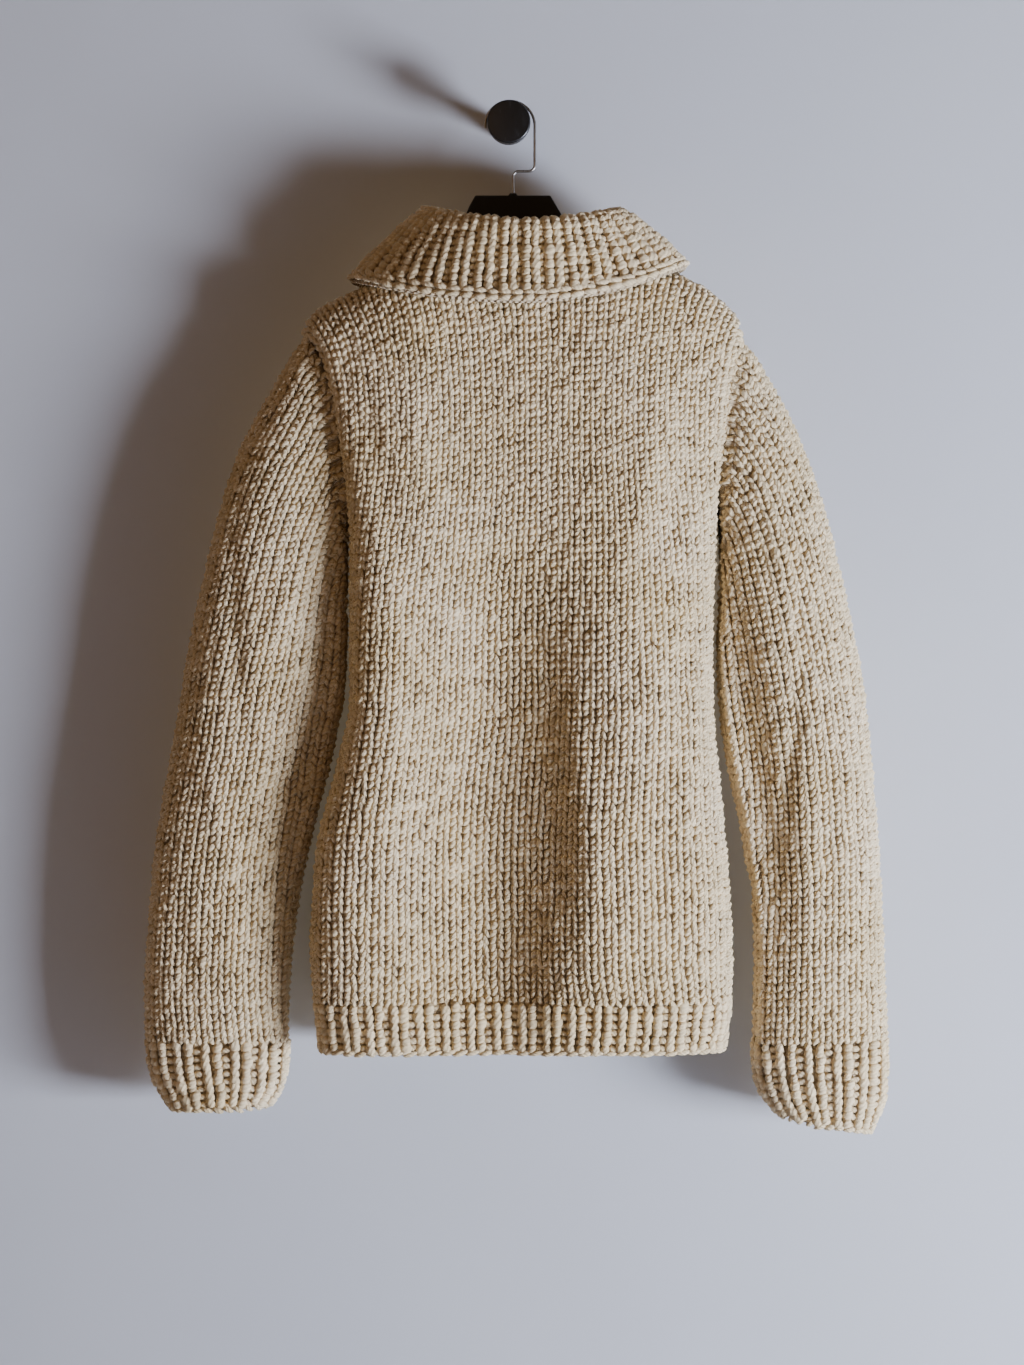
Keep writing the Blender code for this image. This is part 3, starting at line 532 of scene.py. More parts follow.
def collar_points(columns=256, rows=72):
    """Middle of the collar's wall, from the neck seam over the fold to the loose edge."""
    turn = np.linspace(-pi, pi, columns, endpoint=False)
    half_width = (NECK_RIGHT_X - NECK_LEFT_X) / 2
    x = COLLAR_CENTRE_X + half_width * np.sin(turn)
    foot = []
    for face, out in (("back", -1), ("front", 1)):
        z, depth = top_edge(x, face)
        foot.append(np.stack([x, HANG_Y + out * depth, z + COLLAR_GAP], -1))
    rings = [np.where(np.cos(turn)[:, None] > 0, foot[0], foot[1])]
    for row in range(len(COLLAR["left"])):
        here = turn - COLLAR["even"][row] * np.sin(2 * turn) / 2
        s = np.sin(here)
        c = np.cos(here)
        across = np.where(s < 0, COLLAR["left"][row], COLLAR["right"][row])
        deep = np.where(c > 0, COLLAR["back"][row], COLLAR["front"][row])
        z_side = np.where(s < 0, COLLAR["z_left"][row], COLLAR["z_right"][row])
        z_deep = np.where(c > 0, COLLAR["z_back"][row], COLLAR["z_front"][row])
        rings.append(np.stack([COLLAR_CENTRE_X + across * s, HANG_Y - deep * c,
                               z_side * s ** 2 + z_deep * c ** 2], -1))
    return smooth_rows(np.array(rings), rows)


class Chart:
    """A piece's outer face as a fine grid, read by column and by the way from its first row."""

    def __init__(self, points, closed, flip):
        self.closed = closed
        self.flip = flip
        self.set_points(points)

    def set_points(self, points):
        self.points = points
        rows, columns = points.shape[:2]
        self.rows = rows
        self.columns = columns
        self.spans = columns if self.closed else columns - 1
        up = np.gradient(points, axis=0)
        if self.closed:
            along = np.roll(points, -1, axis=1) - np.roll(points, 1, axis=1)
        else:
            along = np.gradient(points, axis=1)
        self.normals = unit(np.cross(along, up)) * self.flip
        steps = np.linalg.norm(np.diff(points, axis=0), axis=2)
        self.ways = np.vstack([np.zeros((1, columns)), np.cumsum(steps, axis=0)])

    def press(self, depth):
        """Moves the face inwards by a grid of depths."""
        self.set_points(self.points - self.normals * depth[..., None])

    def across_ways(self, square=False):
        """Way of every grid point from its row's first column; square to the wales if asked."""
        points = self.points
        if square:
            points = np.concatenate([points, points[:, :1]], axis=1)
        steps = np.diff(points, axis=1)
        if square:
            upward = np.gradient(self.points[:, self.columns // 2], axis=0)
            upward = unit(np.stack([soft_rows(part, UPWARD_REACH) for part in upward.T], -1))[:, None]
            steps = steps - (steps * upward).sum(-1, keepdims=True) * upward
        steps = np.linalg.norm(steps, axis=2)
        return np.hstack([np.zeros((self.rows, 1)), np.cumsum(steps, axis=1)])

    def sample(self, grid, row_places, column_places):
        r = np.clip(row_places, 0, self.rows - 1.001)
        r0 = r.astype(int)
        rt = (r - r0)[..., None]
        if self.closed:
            c = np.mod(column_places, self.columns)
            c0 = np.minimum(c.astype(int), self.columns - 1)
            c1 = (c0 + 1) % self.columns
        else:
            c = np.clip(column_places, 0, self.columns - 1.001)
            c0 = c.astype(int)
            c1 = c0 + 1
        ct = (c - c0)[..., None]
        low = grid[r0, c0] * (1 - ct) + grid[r0, c1] * ct
        high = grid[r0 + 1, c0] * (1 - ct) + grid[r0 + 1, c1] * ct
        return low * (1 - rt) + high * rt


class Line:
    """One line up a chart, with its points, normals, sideways directions and spacing."""

    def __init__(self, chart, places, half_gap):
        rows = np.arange(chart.rows)
        points = chart.sample(chart.points, rows, places)
        normals = unit(chart.sample(chart.normals, rows, places))
        upward = unit(np.gradient(points, axis=0))
        side = unit(np.cross(normals, upward)) * -chart.flip
        beyond = chart.sample(chart.points, rows, places + half_gap)
        before = chart.sample(chart.points, rows, places - half_gap)
        gap = np.abs(((beyond - before) * side).sum(1))
        self.ways = way_along(points)
        self.length = self.ways[-1]
        self.values = np.hstack([points, normals, side, gap[:, None], np.ones((len(gap), 1))])

    def read(self, ways):
        """Points, normals, sideways directions, spacing and whether the cloth is there."""
        flat = np.clip(ways, 0.0, self.length).ravel()
        found = np.stack([np.interp(flat, self.ways, column) for column in self.values.T], -1)
        found = found.reshape(*ways.shape, -1)
        return (found[..., 0:3], unit(found[..., 3:6]), unit(found[..., 6:9]), found[..., 9],
                found[..., 10] > 0.999)


def soft_rows(values, reach):
    """A line of values smoothed over a reach of rows."""
    at = np.arange(-2 * reach, 2 * reach + 1)
    kernel = np.exp(-(at / reach) ** 2)
    padded = np.pad(values, 2 * reach, mode="edge")
    return np.convolve(padded, kernel / kernel.sum(), mode="valid")


def wale_lines(chart, count, wale_width):
    """Lines up the middle of each wale, an equal way apart and straight up the cloth."""
    across = chart.across_ways(square=chart.closed)
    total = across[:, -1]
    pitch = soft_rows(total, PITCH_REACH) / count
    if chart.closed:
        pitch = np.full(chart.rows, wale_width)
    lines = []
    for k in range(count):
        target = total / 2 + (k + 0.5 - count / 2) * pitch
        edge = FIRST_INNER_WALE * pitch
        shown = (target >= edge) & (target <= total - edge)
        if k in (0, count - 1):
            target = EDGE_WALE * pitch if k == 0 else total - EDGE_WALE * pitch
            shown = np.full(chart.rows, True)
        places = np.array([np.interp(t, row, np.arange(len(row)))
                           for t, row in zip(target, across)])
        line = Line(chart, places, chart.spans / count / 2)
        line.values[:, 9] = pitch
        line.values[:, 10] = shown
        lines.append(line)
    return lines


def smooth_ramp(values):
    """Goes from 0 to 1 with level ends."""
    t = np.clip(values, 0.0, 1.0)
    return t * t * (3 - 2 * t)


def hollow_depth(points):
    """Depth of the broad hollow down the back at a grid of points, in millimetres."""
    x = points[..., 0]
    left = smooth_ramp((x - HOLLOW_LEFT_X) / (HOLLOW_FLOOR_X - HOLLOW_LEFT_X))
    right = smooth_ramp((HOLLOW_RIGHT_X - x) / (HOLLOW_RIGHT_X - HOLLOW_FLOOR_X))
    strength = smooth_ramp(np.interp(points[..., 2], HOLLOW_Z, HOLLOW_STRENGTH))
    return HOLLOW_DEPTH * strength * np.minimum(left, right)


def panel_chart(face):
    chart = Chart(panel_points(face), False, 1 if face == "back" else -1)
    ways = chart.across_ways()
    edge = np.minimum(ways, ways[:, -1:] - ways)
    depth = SEAM_GROOVE * np.exp(-(edge / SEAM_WIDTH) ** 2)
    if face == "back":
        depth += hollow_depth(chart.points)
    chart.press(depth)
    return chart


def hem_chart(face):
    return Chart(hem_points(face), False, 1 if face == "back" else -1)


def sleeve_chart(side):
    chart = Chart(sleeve_points(side), True, -1 if side == "left" else 1)
    ways = chart.across_ways()
    total = ways[:, -1:]
    seam = np.minimum(ways, total - ways)
    top = np.abs(chart.ways[-1:] - SLEEVE_TUCK - chart.ways)
    depth = SEAM_GROOVE * (np.exp(-(seam / SEAM_WIDTH) ** 2) + np.exp(-(top / SEAM_WIDTH) ** 2))
    along = np.linspace(1, 0, chart.rows)[:, None] * chart.ways[-1].mean()
    creases = {name: values.copy() for name, values in SLEEVE_CREASES[side].items()}
    creases["along"] *= chart.ways[-1].mean()
    creases["round"] *= total.mean()
    fade = np.clip(top / SEAM_FADE, 0, 1) * np.clip(chart.ways / CUFF_FADE, 0, 1)
    depth += fade * crease_depth(creases, ways, along, "round", "along")
    chart.press(depth)
    return chart


def cuff_chart(side):
    return Chart(cuff_points(side), True, -1 if side == "left" else 1)


def collar_chart():
    chart = Chart(collar_points(), True, -1)
    chart.press(np.full(chart.ways.shape, -COLLAR_HALF_WALL))
    return chart


# Yarn

def length_faces(sides, stops):
    """One length of yarn: its quads between rings, its end triangles and the UVs of both."""
    k = np.arange(sides)
    after = (k + 1) % sides
    last = 1 + (stops - 3) * sides
    v = np.arange(stops) / (stops - 1)

    def corner(shift, height):
        return np.stack([(k + shift) / sides, np.full(sides, height)], -1)

    quads = [np.stack([a + k, a + sides + k, a + sides + after, a + after], -1)
             for a in range(1, last, sides)]
    quad_uv = [np.stack([corner(0, v[r]), corner(0, v[r + 1]), corner(1, v[r + 1]),
                         corner(1, v[r])], 1) for r in range(1, stops - 2)]
    tris = [np.stack([0 * k, 1 + k, 1 + after], -1),
            np.stack([0 * k + last + sides, last + after, last + k], -1)]
    tri_uv = [np.stack([corner(0.5, 0), corner(0, v[1]), corner(1, v[1])], 1),
              np.stack([corner(0.5, 1), corner(1, v[-2]), corner(0, v[-2])], 1)]
    return [np.concatenate(part) for part in (quads, tris, quad_uv, tri_uv)]


class Yarn:
    """Short lengths of yarn, gathered piece by piece and made one mesh at the end."""

    def __init__(self, sides, stops, swell):
        self.sides = sides
        self.stops = stops
        self.swell = swell
        self.parts = []

    def add(self, centre, normal, radius, shade, height):
        self.parts.append((centre, normal, radius, shade, height))

    def make(self, name, material):
        centre, normal, radius, shade, height = map(np.concatenate, zip(*self.parts))
        sides = self.sides
        count, stops = centre.shape[:2]
        along = unit(np.gradient(centre, axis=1))
        across = unit(np.cross(along, unit(normal)))
        lift = np.cross(across, along)
        angles = 2 * pi * (np.arange(sides) + 0.5) / sides
        wheel = (np.cos(angles)[:, None] * across[:, 1:-1, None] +
                 np.sin(angles)[:, None] * YARN_FLAT * lift[:, 1:-1, None])
        rings = centre[:, 1:-1, None] + wheel * radius[:, 1:-1, None, None]
        ring_height = height[:, 1:-1, None] + np.sin(angles) * YARN_FLAT * radius[:, 1:-1, None]
        points = np.concatenate([centre[:, :1], rings.reshape(count, -1, 3), centre[:, -1:]], 1)
        heights = np.concatenate([height[:, :1], ring_height.reshape(count, -1), height[:, -1:]], 1)
        each = points.shape[1]
        quads, tris, quad_uv, tri_uv = length_faces(sides, stops)
        base = np.arange(count)[:, None, None] * each
        quad_index = (base + quads).reshape(-1)
        tri_index = (base + tris).reshape(-1)
        uv = np.concatenate([np.tile(part.reshape(-1, 2), (count, 1)) for part in (quad_uv, tri_uv)])
        starts = np.concatenate([np.arange(0, len(quad_index), 4),
                                 len(quad_index) + np.arange(0, len(tri_index), 3)])
        piece = mesh_object(name, points.reshape(-1, 3), np.concatenate([quad_index, tri_index]),
                            starts, uv, material)
        add_values(piece, "shade", np.repeat(shade, each))
        # How deep each point lies, which the wool material reads to paint shade on deep-lying yarn
        add_values(piece, "height", heights.reshape(-1))
        return piece


def mesh_object(name, points, corners, starts, uv, material):
    """A smooth-shaded mesh object from arrays; the points are in millimetres."""
    mesh = bpy.data.meshes.new(name)
    mesh.vertices.add(len(points))
    mesh.vertices.foreach_set("co", (points * MM).astype(np.float32).ravel())
    mesh.loops.add(len(corners))
    mesh.loops.foreach_set("vertex_index", corners.astype(np.int32))
    mesh.polygons.add(len(starts))
    mesh.polygons.foreach_set("loop_start", starts.astype(np.int32))
    mesh.update(calc_edges=True)
    layer = mesh.uv_layers.new(name="UVMap")
    layer.data.foreach_set("uv", uv.astype(np.float32).ravel())
    mesh.validate()
    mesh.shade_smooth()
    mesh.materials.append(material)
    piece = bpy.data.objects.new(name, mesh)
    bpy.context.scene.collection.objects.link(piece)
    return piece


def add_values(piece, name, values):
    attribute = piece.data.attributes.new(name, "FLOAT", "POINT")
    attribute.data.foreach_set("value", values.astype(np.float32))


def shell_object(name, chart, sink, wall, rows, columns, wales, row_height, material):
    """The thin wall that carries the yarn, closed at its rims."""
    row_places = np.linspace(0, chart.rows - 1, rows)
    column_count = columns if chart.closed else columns + 1
    column_places = np.arange(column_count) / columns * chart.spans
    rr, cc = np.meshgrid(row_places, column_places, indexing="ij")
    points = chart.sample(chart.points, rr, cc)
    normals = unit(chart.sample(chart.normals, rr, cc))
    ways = chart.sample(chart.ways[..., None], rr, cc)[..., 0]
    outer = points - normals * sink
    inner = points - normals * (sink + wall)
    layer = rows * column_count
    index = np.arange(layer).reshape(rows, column_count)
    a = index[:-1, :columns]
    b = np.roll(index, -1, axis=1)[:-1, :columns] if chart.closed else index[:-1, 1:]
    c = np.roll(index, -1, axis=1)[1:, :columns] if chart.closed else index[1:, 1:]
    d = index[1:, :columns]
    front = np.stack([a, b, c, d], -1).reshape(-1, 4)
    back = front[:, ::-1] + layer
    faces = [front, back]
    low = np.stack([a[0], a[0] + layer, b[0] + layer, b[0]], -1)
    high = np.stack([d[-1], c[-1], c[-1] + layer, d[-1] + layer], -1)
    faces += [low, high]
    if not chart.closed:
        faces.append(np.stack([a[:, 0], d[:, 0], d[:, 0] + layer, a[:, 0] + layer], -1))
        faces.append(np.stack([b[:, -1], b[:, -1] + layer, c[:, -1] + layer, c[:, -1]], -1))
    faces = np.concatenate(faces)
    if chart.flip < 0:
        faces = faces[:, ::-1]
    uv_point = np.stack([cc / chart.spans * wales, ways / row_height], -1).reshape(-1, 2)
    uv_point = np.concatenate([uv_point, uv_point])
    return mesh_object(name, np.concatenate([outer.reshape(-1, 3), inner.reshape(-1, 3)]),
                       faces.reshape(-1), np.arange(0, faces.size, 4),
                       uv_point[faces.reshape(-1)], material)


SLUB_CHANCE = 0.045
SLUB_LEAST = 0.12
SLUB_MOST = 0.36
SLUB_TAIL = 0.6         # how much of a slub the next leg of the same yarn still has
THICKNESS_SPREAD = 0.11
THICKNESS_LEAST = 0.74
THICKNESS_MOST = 1.45


def yarn_thickness(rng, courses, legs):
    """Thick-and-thin yarn: it swells and thins along each course, with slubs here and there."""
    kernel = np.array([0.25, 0.6, 1.0, 0.6, 0.25])
    uneven = rng.normal(size=(courses, legs + 4))
    soft = np.array([np.convolve(line, kernel, mode="valid") for line in uneven])
    soft /= np.sqrt((kernel ** 2).sum())
    slubs = rng.random((courses, legs)) < SLUB_CHANCE
    slubs = slubs * rng.uniform(SLUB_LEAST, SLUB_MOST, (courses, legs))
    slubs = slubs + SLUB_TAIL * np.roll(slubs, 1, axis=1)
    return np.clip(1.0 + THICKNESS_SPREAD * soft + slubs, THICKNESS_LEAST, THICKNESS_MOST)


# A leg comes up from behind the one below it, thickens, and turns back with a blunt end. Stops
# are shares of its length and swells shares of its radius; heights and tilts are in millimetres
LEG_STOPS = np.array([0.0, 0.20, 0.52, 0.82, 1.0])
LEG_SWELL = np.array([0.0, 0.68, 1.0, 0.60, 0.0])
RIB_STOPS = np.array([0.0, 0.13, 0.37, 0.64, 0.88, 1.0])
RIB_SWELL = np.array([0.0, 0.58, 0.97, 0.98, 0.62, 0.0])
PLAIN_LEG = {"radius": 1.12, "crest": 0.9, "sink_low": 2.7, "sink_high": 4.2,
             "inner": 0.035, "outer": 0.455, "length": 1.72}
RIB_LEG = {"radius": 1.72, "crest": 0.9, "sink_low": 3.2, "sink_high": 3.4,
           "inner": 0.105, "outer": 0.27, "length": 1.6}
PURL_BUMP = {"radius": 1.25, "crest": -1.9, "sink": 1.9, "half": 0.24, "tilt": 0.0, "arch": 1.2}
EDGE_LOOP = {"radius": 1.0, "crest": 0.3, "sink": 1.6, "half": 0.62, "tilt": 1.3, "arch": 0.0}
GARTER_LOOP = {"radius": 1.22, "crest": 0.9, "sink": 2.0, "half": 0.62, "arch": 0.9}
# How far hand knitting strays from even
LEG_SPREAD = {"lean": 0.028, "shift": 0.016, "place": 0.07, "length": 0.06, "lift": 0.28}
BAR_SPREAD = {"radius": 0.1, "half": 0.07, "tilt": 0.35, "along": 0.3, "height": 0.2}
WANDER = 0.4            # of a wale to its sides, in millimetres
BULGE = 0.3             # in and out
DRIFT = 0.8             # of its rows up and down
WAVE_LENGTHS = (170.0, 75.0, 34.0)
RIB_COURSES = 60
CORD_PLACE = 0.375      # middle of a rib's knit column, as a share of the rib's width
PURL_PLACE = 0.875
BAND_EDGE_TRIM = 3.0    # from a free edge to the first leg of the ribs
BAND_LOOP_WAY = 1.8
COLLAR_EDGE_TRIM = 8.5  # the ribs end here, and rows of garter stitch go on to the edge
COLLAR_GARTER_ROWS = ((8.2, 0.5), (3.0, -0.8))     # way from the edge, and tilt


def soft_wave(rng, ways, size):
    """A slow random wander along a line."""
    result = np.zeros(ways.shape)
    for length in WAVE_LENGTHS:
        result += size * 0.55 * rng.normal() * np.sin(2 * pi * ways / length + rng.uniform(0, 7))
    return result


def lay_wale(yarn, line, rng, row_height, yarn_radius, leg, thickness, trim=(0.0, 0.0)):
    """Two columns of yarn legs, the V stitches of one wale, along a line."""
    start, end = trim
    usable = line.length - start - end
    rows = max(1, int(round(usable / row_height)))
    step = usable / rows
    course = np.arange(rows)
    middle = start + (course + 0.5) * step
    wander = soft_wave(rng, middle, WANDER)
    bulge = soft_wave(rng, middle, BULGE)
    middle = middle + soft_wave(rng, middle, DRIFT)
    spread = LEG_SPREAD
    t = yarn.stops[None]
    for side in (-1, 1):
        thick = thickness[course % len(thickness), (side + 1) // 2]
        lean = rng.normal(0, spread["lean"], rows)
        shift = rng.normal(0, spread["shift"], rows)
        place = rng.normal(0, spread["place"], rows)
        longer = leg["length"] * (1 + rng.normal(0, spread["length"], rows) + 0.3 * (thick - 1))
        ways = middle[:, None] + (place[:, None] + (t - 0.5) * longer[:, None]) * step
        points, normals, sideways, gap, inside = line.read(ways)
        bow = t + 0.08 * np.sin(pi * t)
        lateral = mix((leg["inner"] - lean)[:, None], (leg["outer"] + lean)[:, None], bow)
        lateral = side * (lateral + shift[:, None]) * gap + wander[:, None]
        size = leg["radius"] * yarn_radius * thick
        radius = size[:, None] * yarn.swell[None]
        sink = np.where(t < 0.5, leg["sink_low"], leg["sink_high"]) * (2 * t - 1) ** 2
        lift = bulge + rng.normal(0, spread["lift"], rows) + 0.6 * (size - size.mean())
        height = leg["crest"] - YARN_FLAT * size[:, None] - sink + lift[:, None]
        centre = points + sideways * lateral[..., None] + normals * height[..., None]
        keep = inside.all(1)
        yarn.add(centre[keep], normals[keep], radius[keep], rng.normal(0, 1, rows)[keep],
                 height[keep])


def lay_bars(yarn, line, rng, ways, yarn_radius, bar, width):
    """Short bars of yarn across a line: purl bumps, or the loops of a bound edge."""
    ways = np.atleast_1d(ways)
    count = len(ways)
    t = 2 * yarn.stops[None] - 1
    spread = BAR_SPREAD
    size = bar["radius"] * yarn_radius * (1 + rng.normal(0, spread["radius"], count))
    half = bar["half"] * width * (1 + rng.normal(0, spread["half"], count))
    tilt = bar["tilt"] + rng.normal(0, spread["tilt"], count)
    along = (ways[:, None] + t * tilt[:, None] - bar["arch"] * t ** 2
             + rng.normal(0, spread["along"], count)[:, None])
    points, normals, sideways = line.read(along)[:3]
    lateral = t * half[:, None]
    radius = size[:, None] * yarn.swell[None]
    height = (bar["crest"] - YARN_FLAT * size[:, None] - bar["sink"] * t ** 2
              + rng.normal(0, spread["height"], count)[:, None])
    centre = points + sideways * lateral[..., None] + normals * height[..., None]
    yarn.add(centre, normals, radius, rng.normal(0, 1, count), height)


def knit_plain(name, chart, sizes, rng, material, wales):
    """All V stitches of a plain piece, in meshes of less than the triangle limit."""
    row_height = sizes.row_height * 1000
    courses = int(chart.ways[-1].max() / row_height) + 3
    thickness = yarn_thickness(rng, courses, 2 * wales)
    lines = wale_lines(chart, wales, sizes.wale_width * 1000)
    halves = (("", lines),)
    if not chart.closed:
        halves = (("_left", lines[:wales // 2]), ("_right", lines[wales // 2:]))
    pieces = []
    wale = 0
    for suffix, group in halves:
        yarn = Yarn(5, LEG_STOPS, LEG_SWELL)
        for line in group:
            lay_wale(yarn, line, rng, row_height, sizes.yarn_radius * 1000, PLAIN_LEG,
                     thickness[:, 2 * wale:2 * wale + 2])
            wale += 1
        pieces.append(yarn.make(name + suffix, material))
    return pieces


def knit_ribs(chart, sizes, rng, ribs, trim):
    """Ribs of one knit and one purl stitch: cords of V stitches with purl bumps between."""
    row_height = sizes.row_height * 1000
    yarn_radius = sizes.yarn_radius * 1000
    yarn = Yarn(6, RIB_STOPS, RIB_SWELL)
    width = chart.spans / ribs
    thickness = yarn_thickness(rng, RIB_COURSES, 2 * ribs)
    for rib in range(ribs):
        line = Line(chart, np.full(chart.rows, (rib + CORD_PLACE) * width), width / 2)
        lay_wale(yarn, line, rng, row_height, yarn_radius, RIB_LEG,
                 thickness[:, 2 * rib:2 * rib + 2], trim)
        gap = Line(chart, np.full(chart.rows, (rib + PURL_PLACE) * width), width / 2)
        ways = np.arange(trim[0] + 0.5 * row_height, gap.length - trim[1], row_height)
        spacing = gap.read(ways)[3].mean()
        lay_bars(yarn, gap, rng, ways, yarn_radius, PURL_BUMP, spacing)
    return yarn


def bind_edge(yarn, chart, sizes, rng, loops, from_end, way, bar):
    """A row of yarn loops along the first or the last edge of a chart."""
    width = chart.spans / loops
    for loop in range(loops):
        line = Line(chart, np.full(chart.rows, (loop + 0.5) * width), width / 2)
        at = line.length - way if from_end else way
        lay_bars(yarn, line, rng, at, sizes.yarn_radius * 1000, bar, line.read(np.array([at]))[3][0])


# Materials

def linear(code):
    """Linear colour from an sRGB hex value."""
    parts = [int(code[i:i + 2], 16) / 255 for i in (1, 3, 5)]
    return [p / 12.92 if p <= 0.04045 else ((p + 0.055) / 1.055) ** 2.4 for p in parts]


def add_node(tree, kind, values=None):
    """A node with its settings; an input's name or number takes a constant or a socket to read."""
    node = tree.nodes.new(kind)
    for name, value in (values or {}).items():
        if isinstance(name, str) and name not in node.inputs.keys():
            setattr(node, name, value)
        elif isinstance(value, bpy.types.NodeSocket):
            tree.links.new(value, node.inputs[name])
        else:
            node.inputs[name].default_value = value
    return node


def new_material(name, constants):
    """A node material with its shader's constant values on the shader's own sockets."""
    material = bpy.data.materials.new(name)
    material.use_nodes = True
    shader = material.node_tree.nodes["Principled BSDF"]
    for socket, value in constants.items():
        shader.inputs[socket].default_value = value
    return material, material.node_tree, shader


def connect(tree, shader, sockets):
    for name, socket in sockets.items():
        tree.links.new(socket, shader.inputs[name])


def object_place(tree):
    return add_node(tree, "ShaderNodeTexCoord").outputs["Object"]


def attribute_value(tree, name):
    return add_node(tree, "ShaderNodeAttribute", {"attribute_name": name}).outputs["Fac"]


def uv_axes(tree):
    uv = add_node(tree, "ShaderNodeUVMap", {"uv_map": "UVMap"}).outputs[0]
    return add_node(tree, "ShaderNodeSeparateXYZ", {0: uv}).outputs[:2]


def calculate(tree, operation, *values):
    settings = {"operation": operation, **dict(enumerate(values))}
    return add_node(tree, "ShaderNodeMath", settings).outputs[0]


def noise(tree, place, grain, detail, roughness=0.5):
    """Noise with a grain of the given size, in the units of the place that it reads."""
    return add_node(tree, "ShaderNodeTexNoise", {"Scale": 1 / grain, "Detail": detail,
                                                 "Roughness": roughness,
                                                 "Vector": place}).outputs["Fac"]


def bump(tree, height, strength, distance, below=None):
    """A bump of the given distance in metres, on top of another one if there is one below."""
    values = {"Strength": strength, "Distance": distance, "Height": height}
    if below is not None:
        values["Normal"] = below
    return add_node(tree, "ShaderNodeBump", values).outputs[0]


def blend_colors(tree, share, low, high, mode="MIX"):
    low, high = ((*c, 1.0) if isinstance(c, list) else c for c in (low, high))
    return add_node(tree, "ShaderNodeMix", {"data_type": "RGBA", "blend_type": mode,
                                            0: share, 6: low, 7: high}).outputs[2]


def shade_color(tree, color, first, second):
    """The colour times two values."""
    both = calculate(tree, "MULTIPLY", first, second)
    grey = add_node(tree, "ShaderNodeCombineColor", {0: both, 1: both, 2: both}).outputs[0]
    return blend_colors(tree, 1.0, color, grey, "MULTIPLY")


def ramp_value(tree, socket, low, high, to_low=0.0, to_high=1.0):
    return add_node(tree, "ShaderNodeMapRange", {"Value": socket, "From Min": low,
                                                 "From Max": high, "To Min": to_low,
                                                 "To Max": to_high}).outputs[0]


def handspun_wool(colors):
    """Handspun sheep's wool: matt, with a soft bloom of fibre ends and painted shade on deep-lying
    yarn and in the furrows of its plies.
    """
    material, tree, shader = new_material("handspun sheep's wool with painted hollow shade", {
        "Roughness": 0.93, "Sheen Weight": 0.16, "Sheen Roughness": 0.5,
        "Specular IOR Level": 0.1, "Sheen Tint": (*linear("#FFF4DE"), 1.0)})
    shade = attribute_value(tree, "shade")
    place = object_place(tree)
    cloudy = noise(tree, place, 0.09, 3.0)
    flecks = noise(tree, place, 0.0022, 2.0)
    # Painted shade: the deeper yarn lies under the cloth's face, the more it takes the darker
    # painted-shade colour
    low = ramp_value(tree, attribute_value(tree, "height"), -6.5, -2.6)
    color = blend_colors(tree, low, linear(colors.wool_painted_shade), linear(colors.wool))
    tint = blend_colors(tree, ramp_value(tree, cloudy, 0.3, 0.7), linear("#FFF6EA"),
                        linear("#F2E6CF"))
    color = blend_colors(tree, 1.0, color, tint, "MULTIPLY")
    color = shade_color(tree, color, ramp_value(tree, shade, -2.5, 2.5, 0.86, 1.1),
                        ramp_value(tree, flecks, 0.3, 0.7, 0.9, 1.06))

    # Twisted plies: slanting furrows round each leg, darkened with painted shade, and fibres drawn as
    # coarse as they show
    around, along = uv_axes(tree)
    slant = calculate(tree, "ADD", around, calculate(tree, "MULTIPLY", along, 1.5))
    plies = calculate(tree, "SINE", calculate(tree, "MULTIPLY", slant, 2 * pi * 3))
    strand = add_node(tree, "ShaderNodeCombineXYZ", {
        0: calculate(tree, "MULTIPLY", slant, 16.0), 1: calculate(tree, "MULTIPLY", along, 3.0),
        2: calculate(tree, "MULTIPLY", shade, 5.0)}).outputs[0]
    streaks = noise(tree, strand, 1.0, 3.0, 0.65)
    fibres = noise(tree, place, 0.0007, 3.0, 0.7)
    # Painted shade darkens the furrows between the plies; the streaks are the fibres' own lighter and
    # darker tone
    color = shade_color(tree, color, ramp_value(tree, plies, -1.0, -0.2, 0.90, 1.0),
                        ramp_value(tree, streaks, 0.3, 0.7, 0.88, 1.08))
    relief = bump(tree, plies, 0.5, 0.0006)
    relief = bump(tree, streaks, 0.8, 0.0010, relief)
    relief = bump(tree, fibres, 0.5, 0.0007, relief)
    connect(tree, shader, {"Base Color": color, "Normal": relief})
    return material


def knit_reverse(colors):
    """The knit's own ground: what shows between the legs, and its inner side of purl bumps, coloured
    darker than the yarn as painted shade.
    """
    material, tree, shader = new_material("knitted wool ground in painted shade", {
        "Roughness": 0.96, "Sheen Weight": 0.2, "Sheen Roughness": 0.5,
        "Specular IOR Level": 0.1, "Sheen Tint": (*linear("#FFF4DE"), 1.0)})
    across, up = uv_axes(tree)
    bumps = calculate(tree, "MULTIPLY",
                      calculate(tree, "SINE", calculate(tree, "MULTIPLY", across, 4 * pi)),
                      calculate(tree, "SINE", calculate(tree, "MULTIPLY", up, 2 * pi)))
    fibres = noise(tree, object_place(tree), 0.0012, 3.0)
    # Painted shade: the ground is darker than the yarn, and darkest in the dips between its purl
    # bumps
    color = blend_colors(tree, ramp_value(tree, bumps, -1.0, 1.0), linear(colors.wool_painted_shade),
                         linear(colors.wool_inside_shaded))
    relief = bump(tree, fibres, 0.4, 0.0008, bump(tree, bumps, 0.8, 0.0022))
    connect(tree, shader, {"Base Color": color, "Normal": relief})
    return material


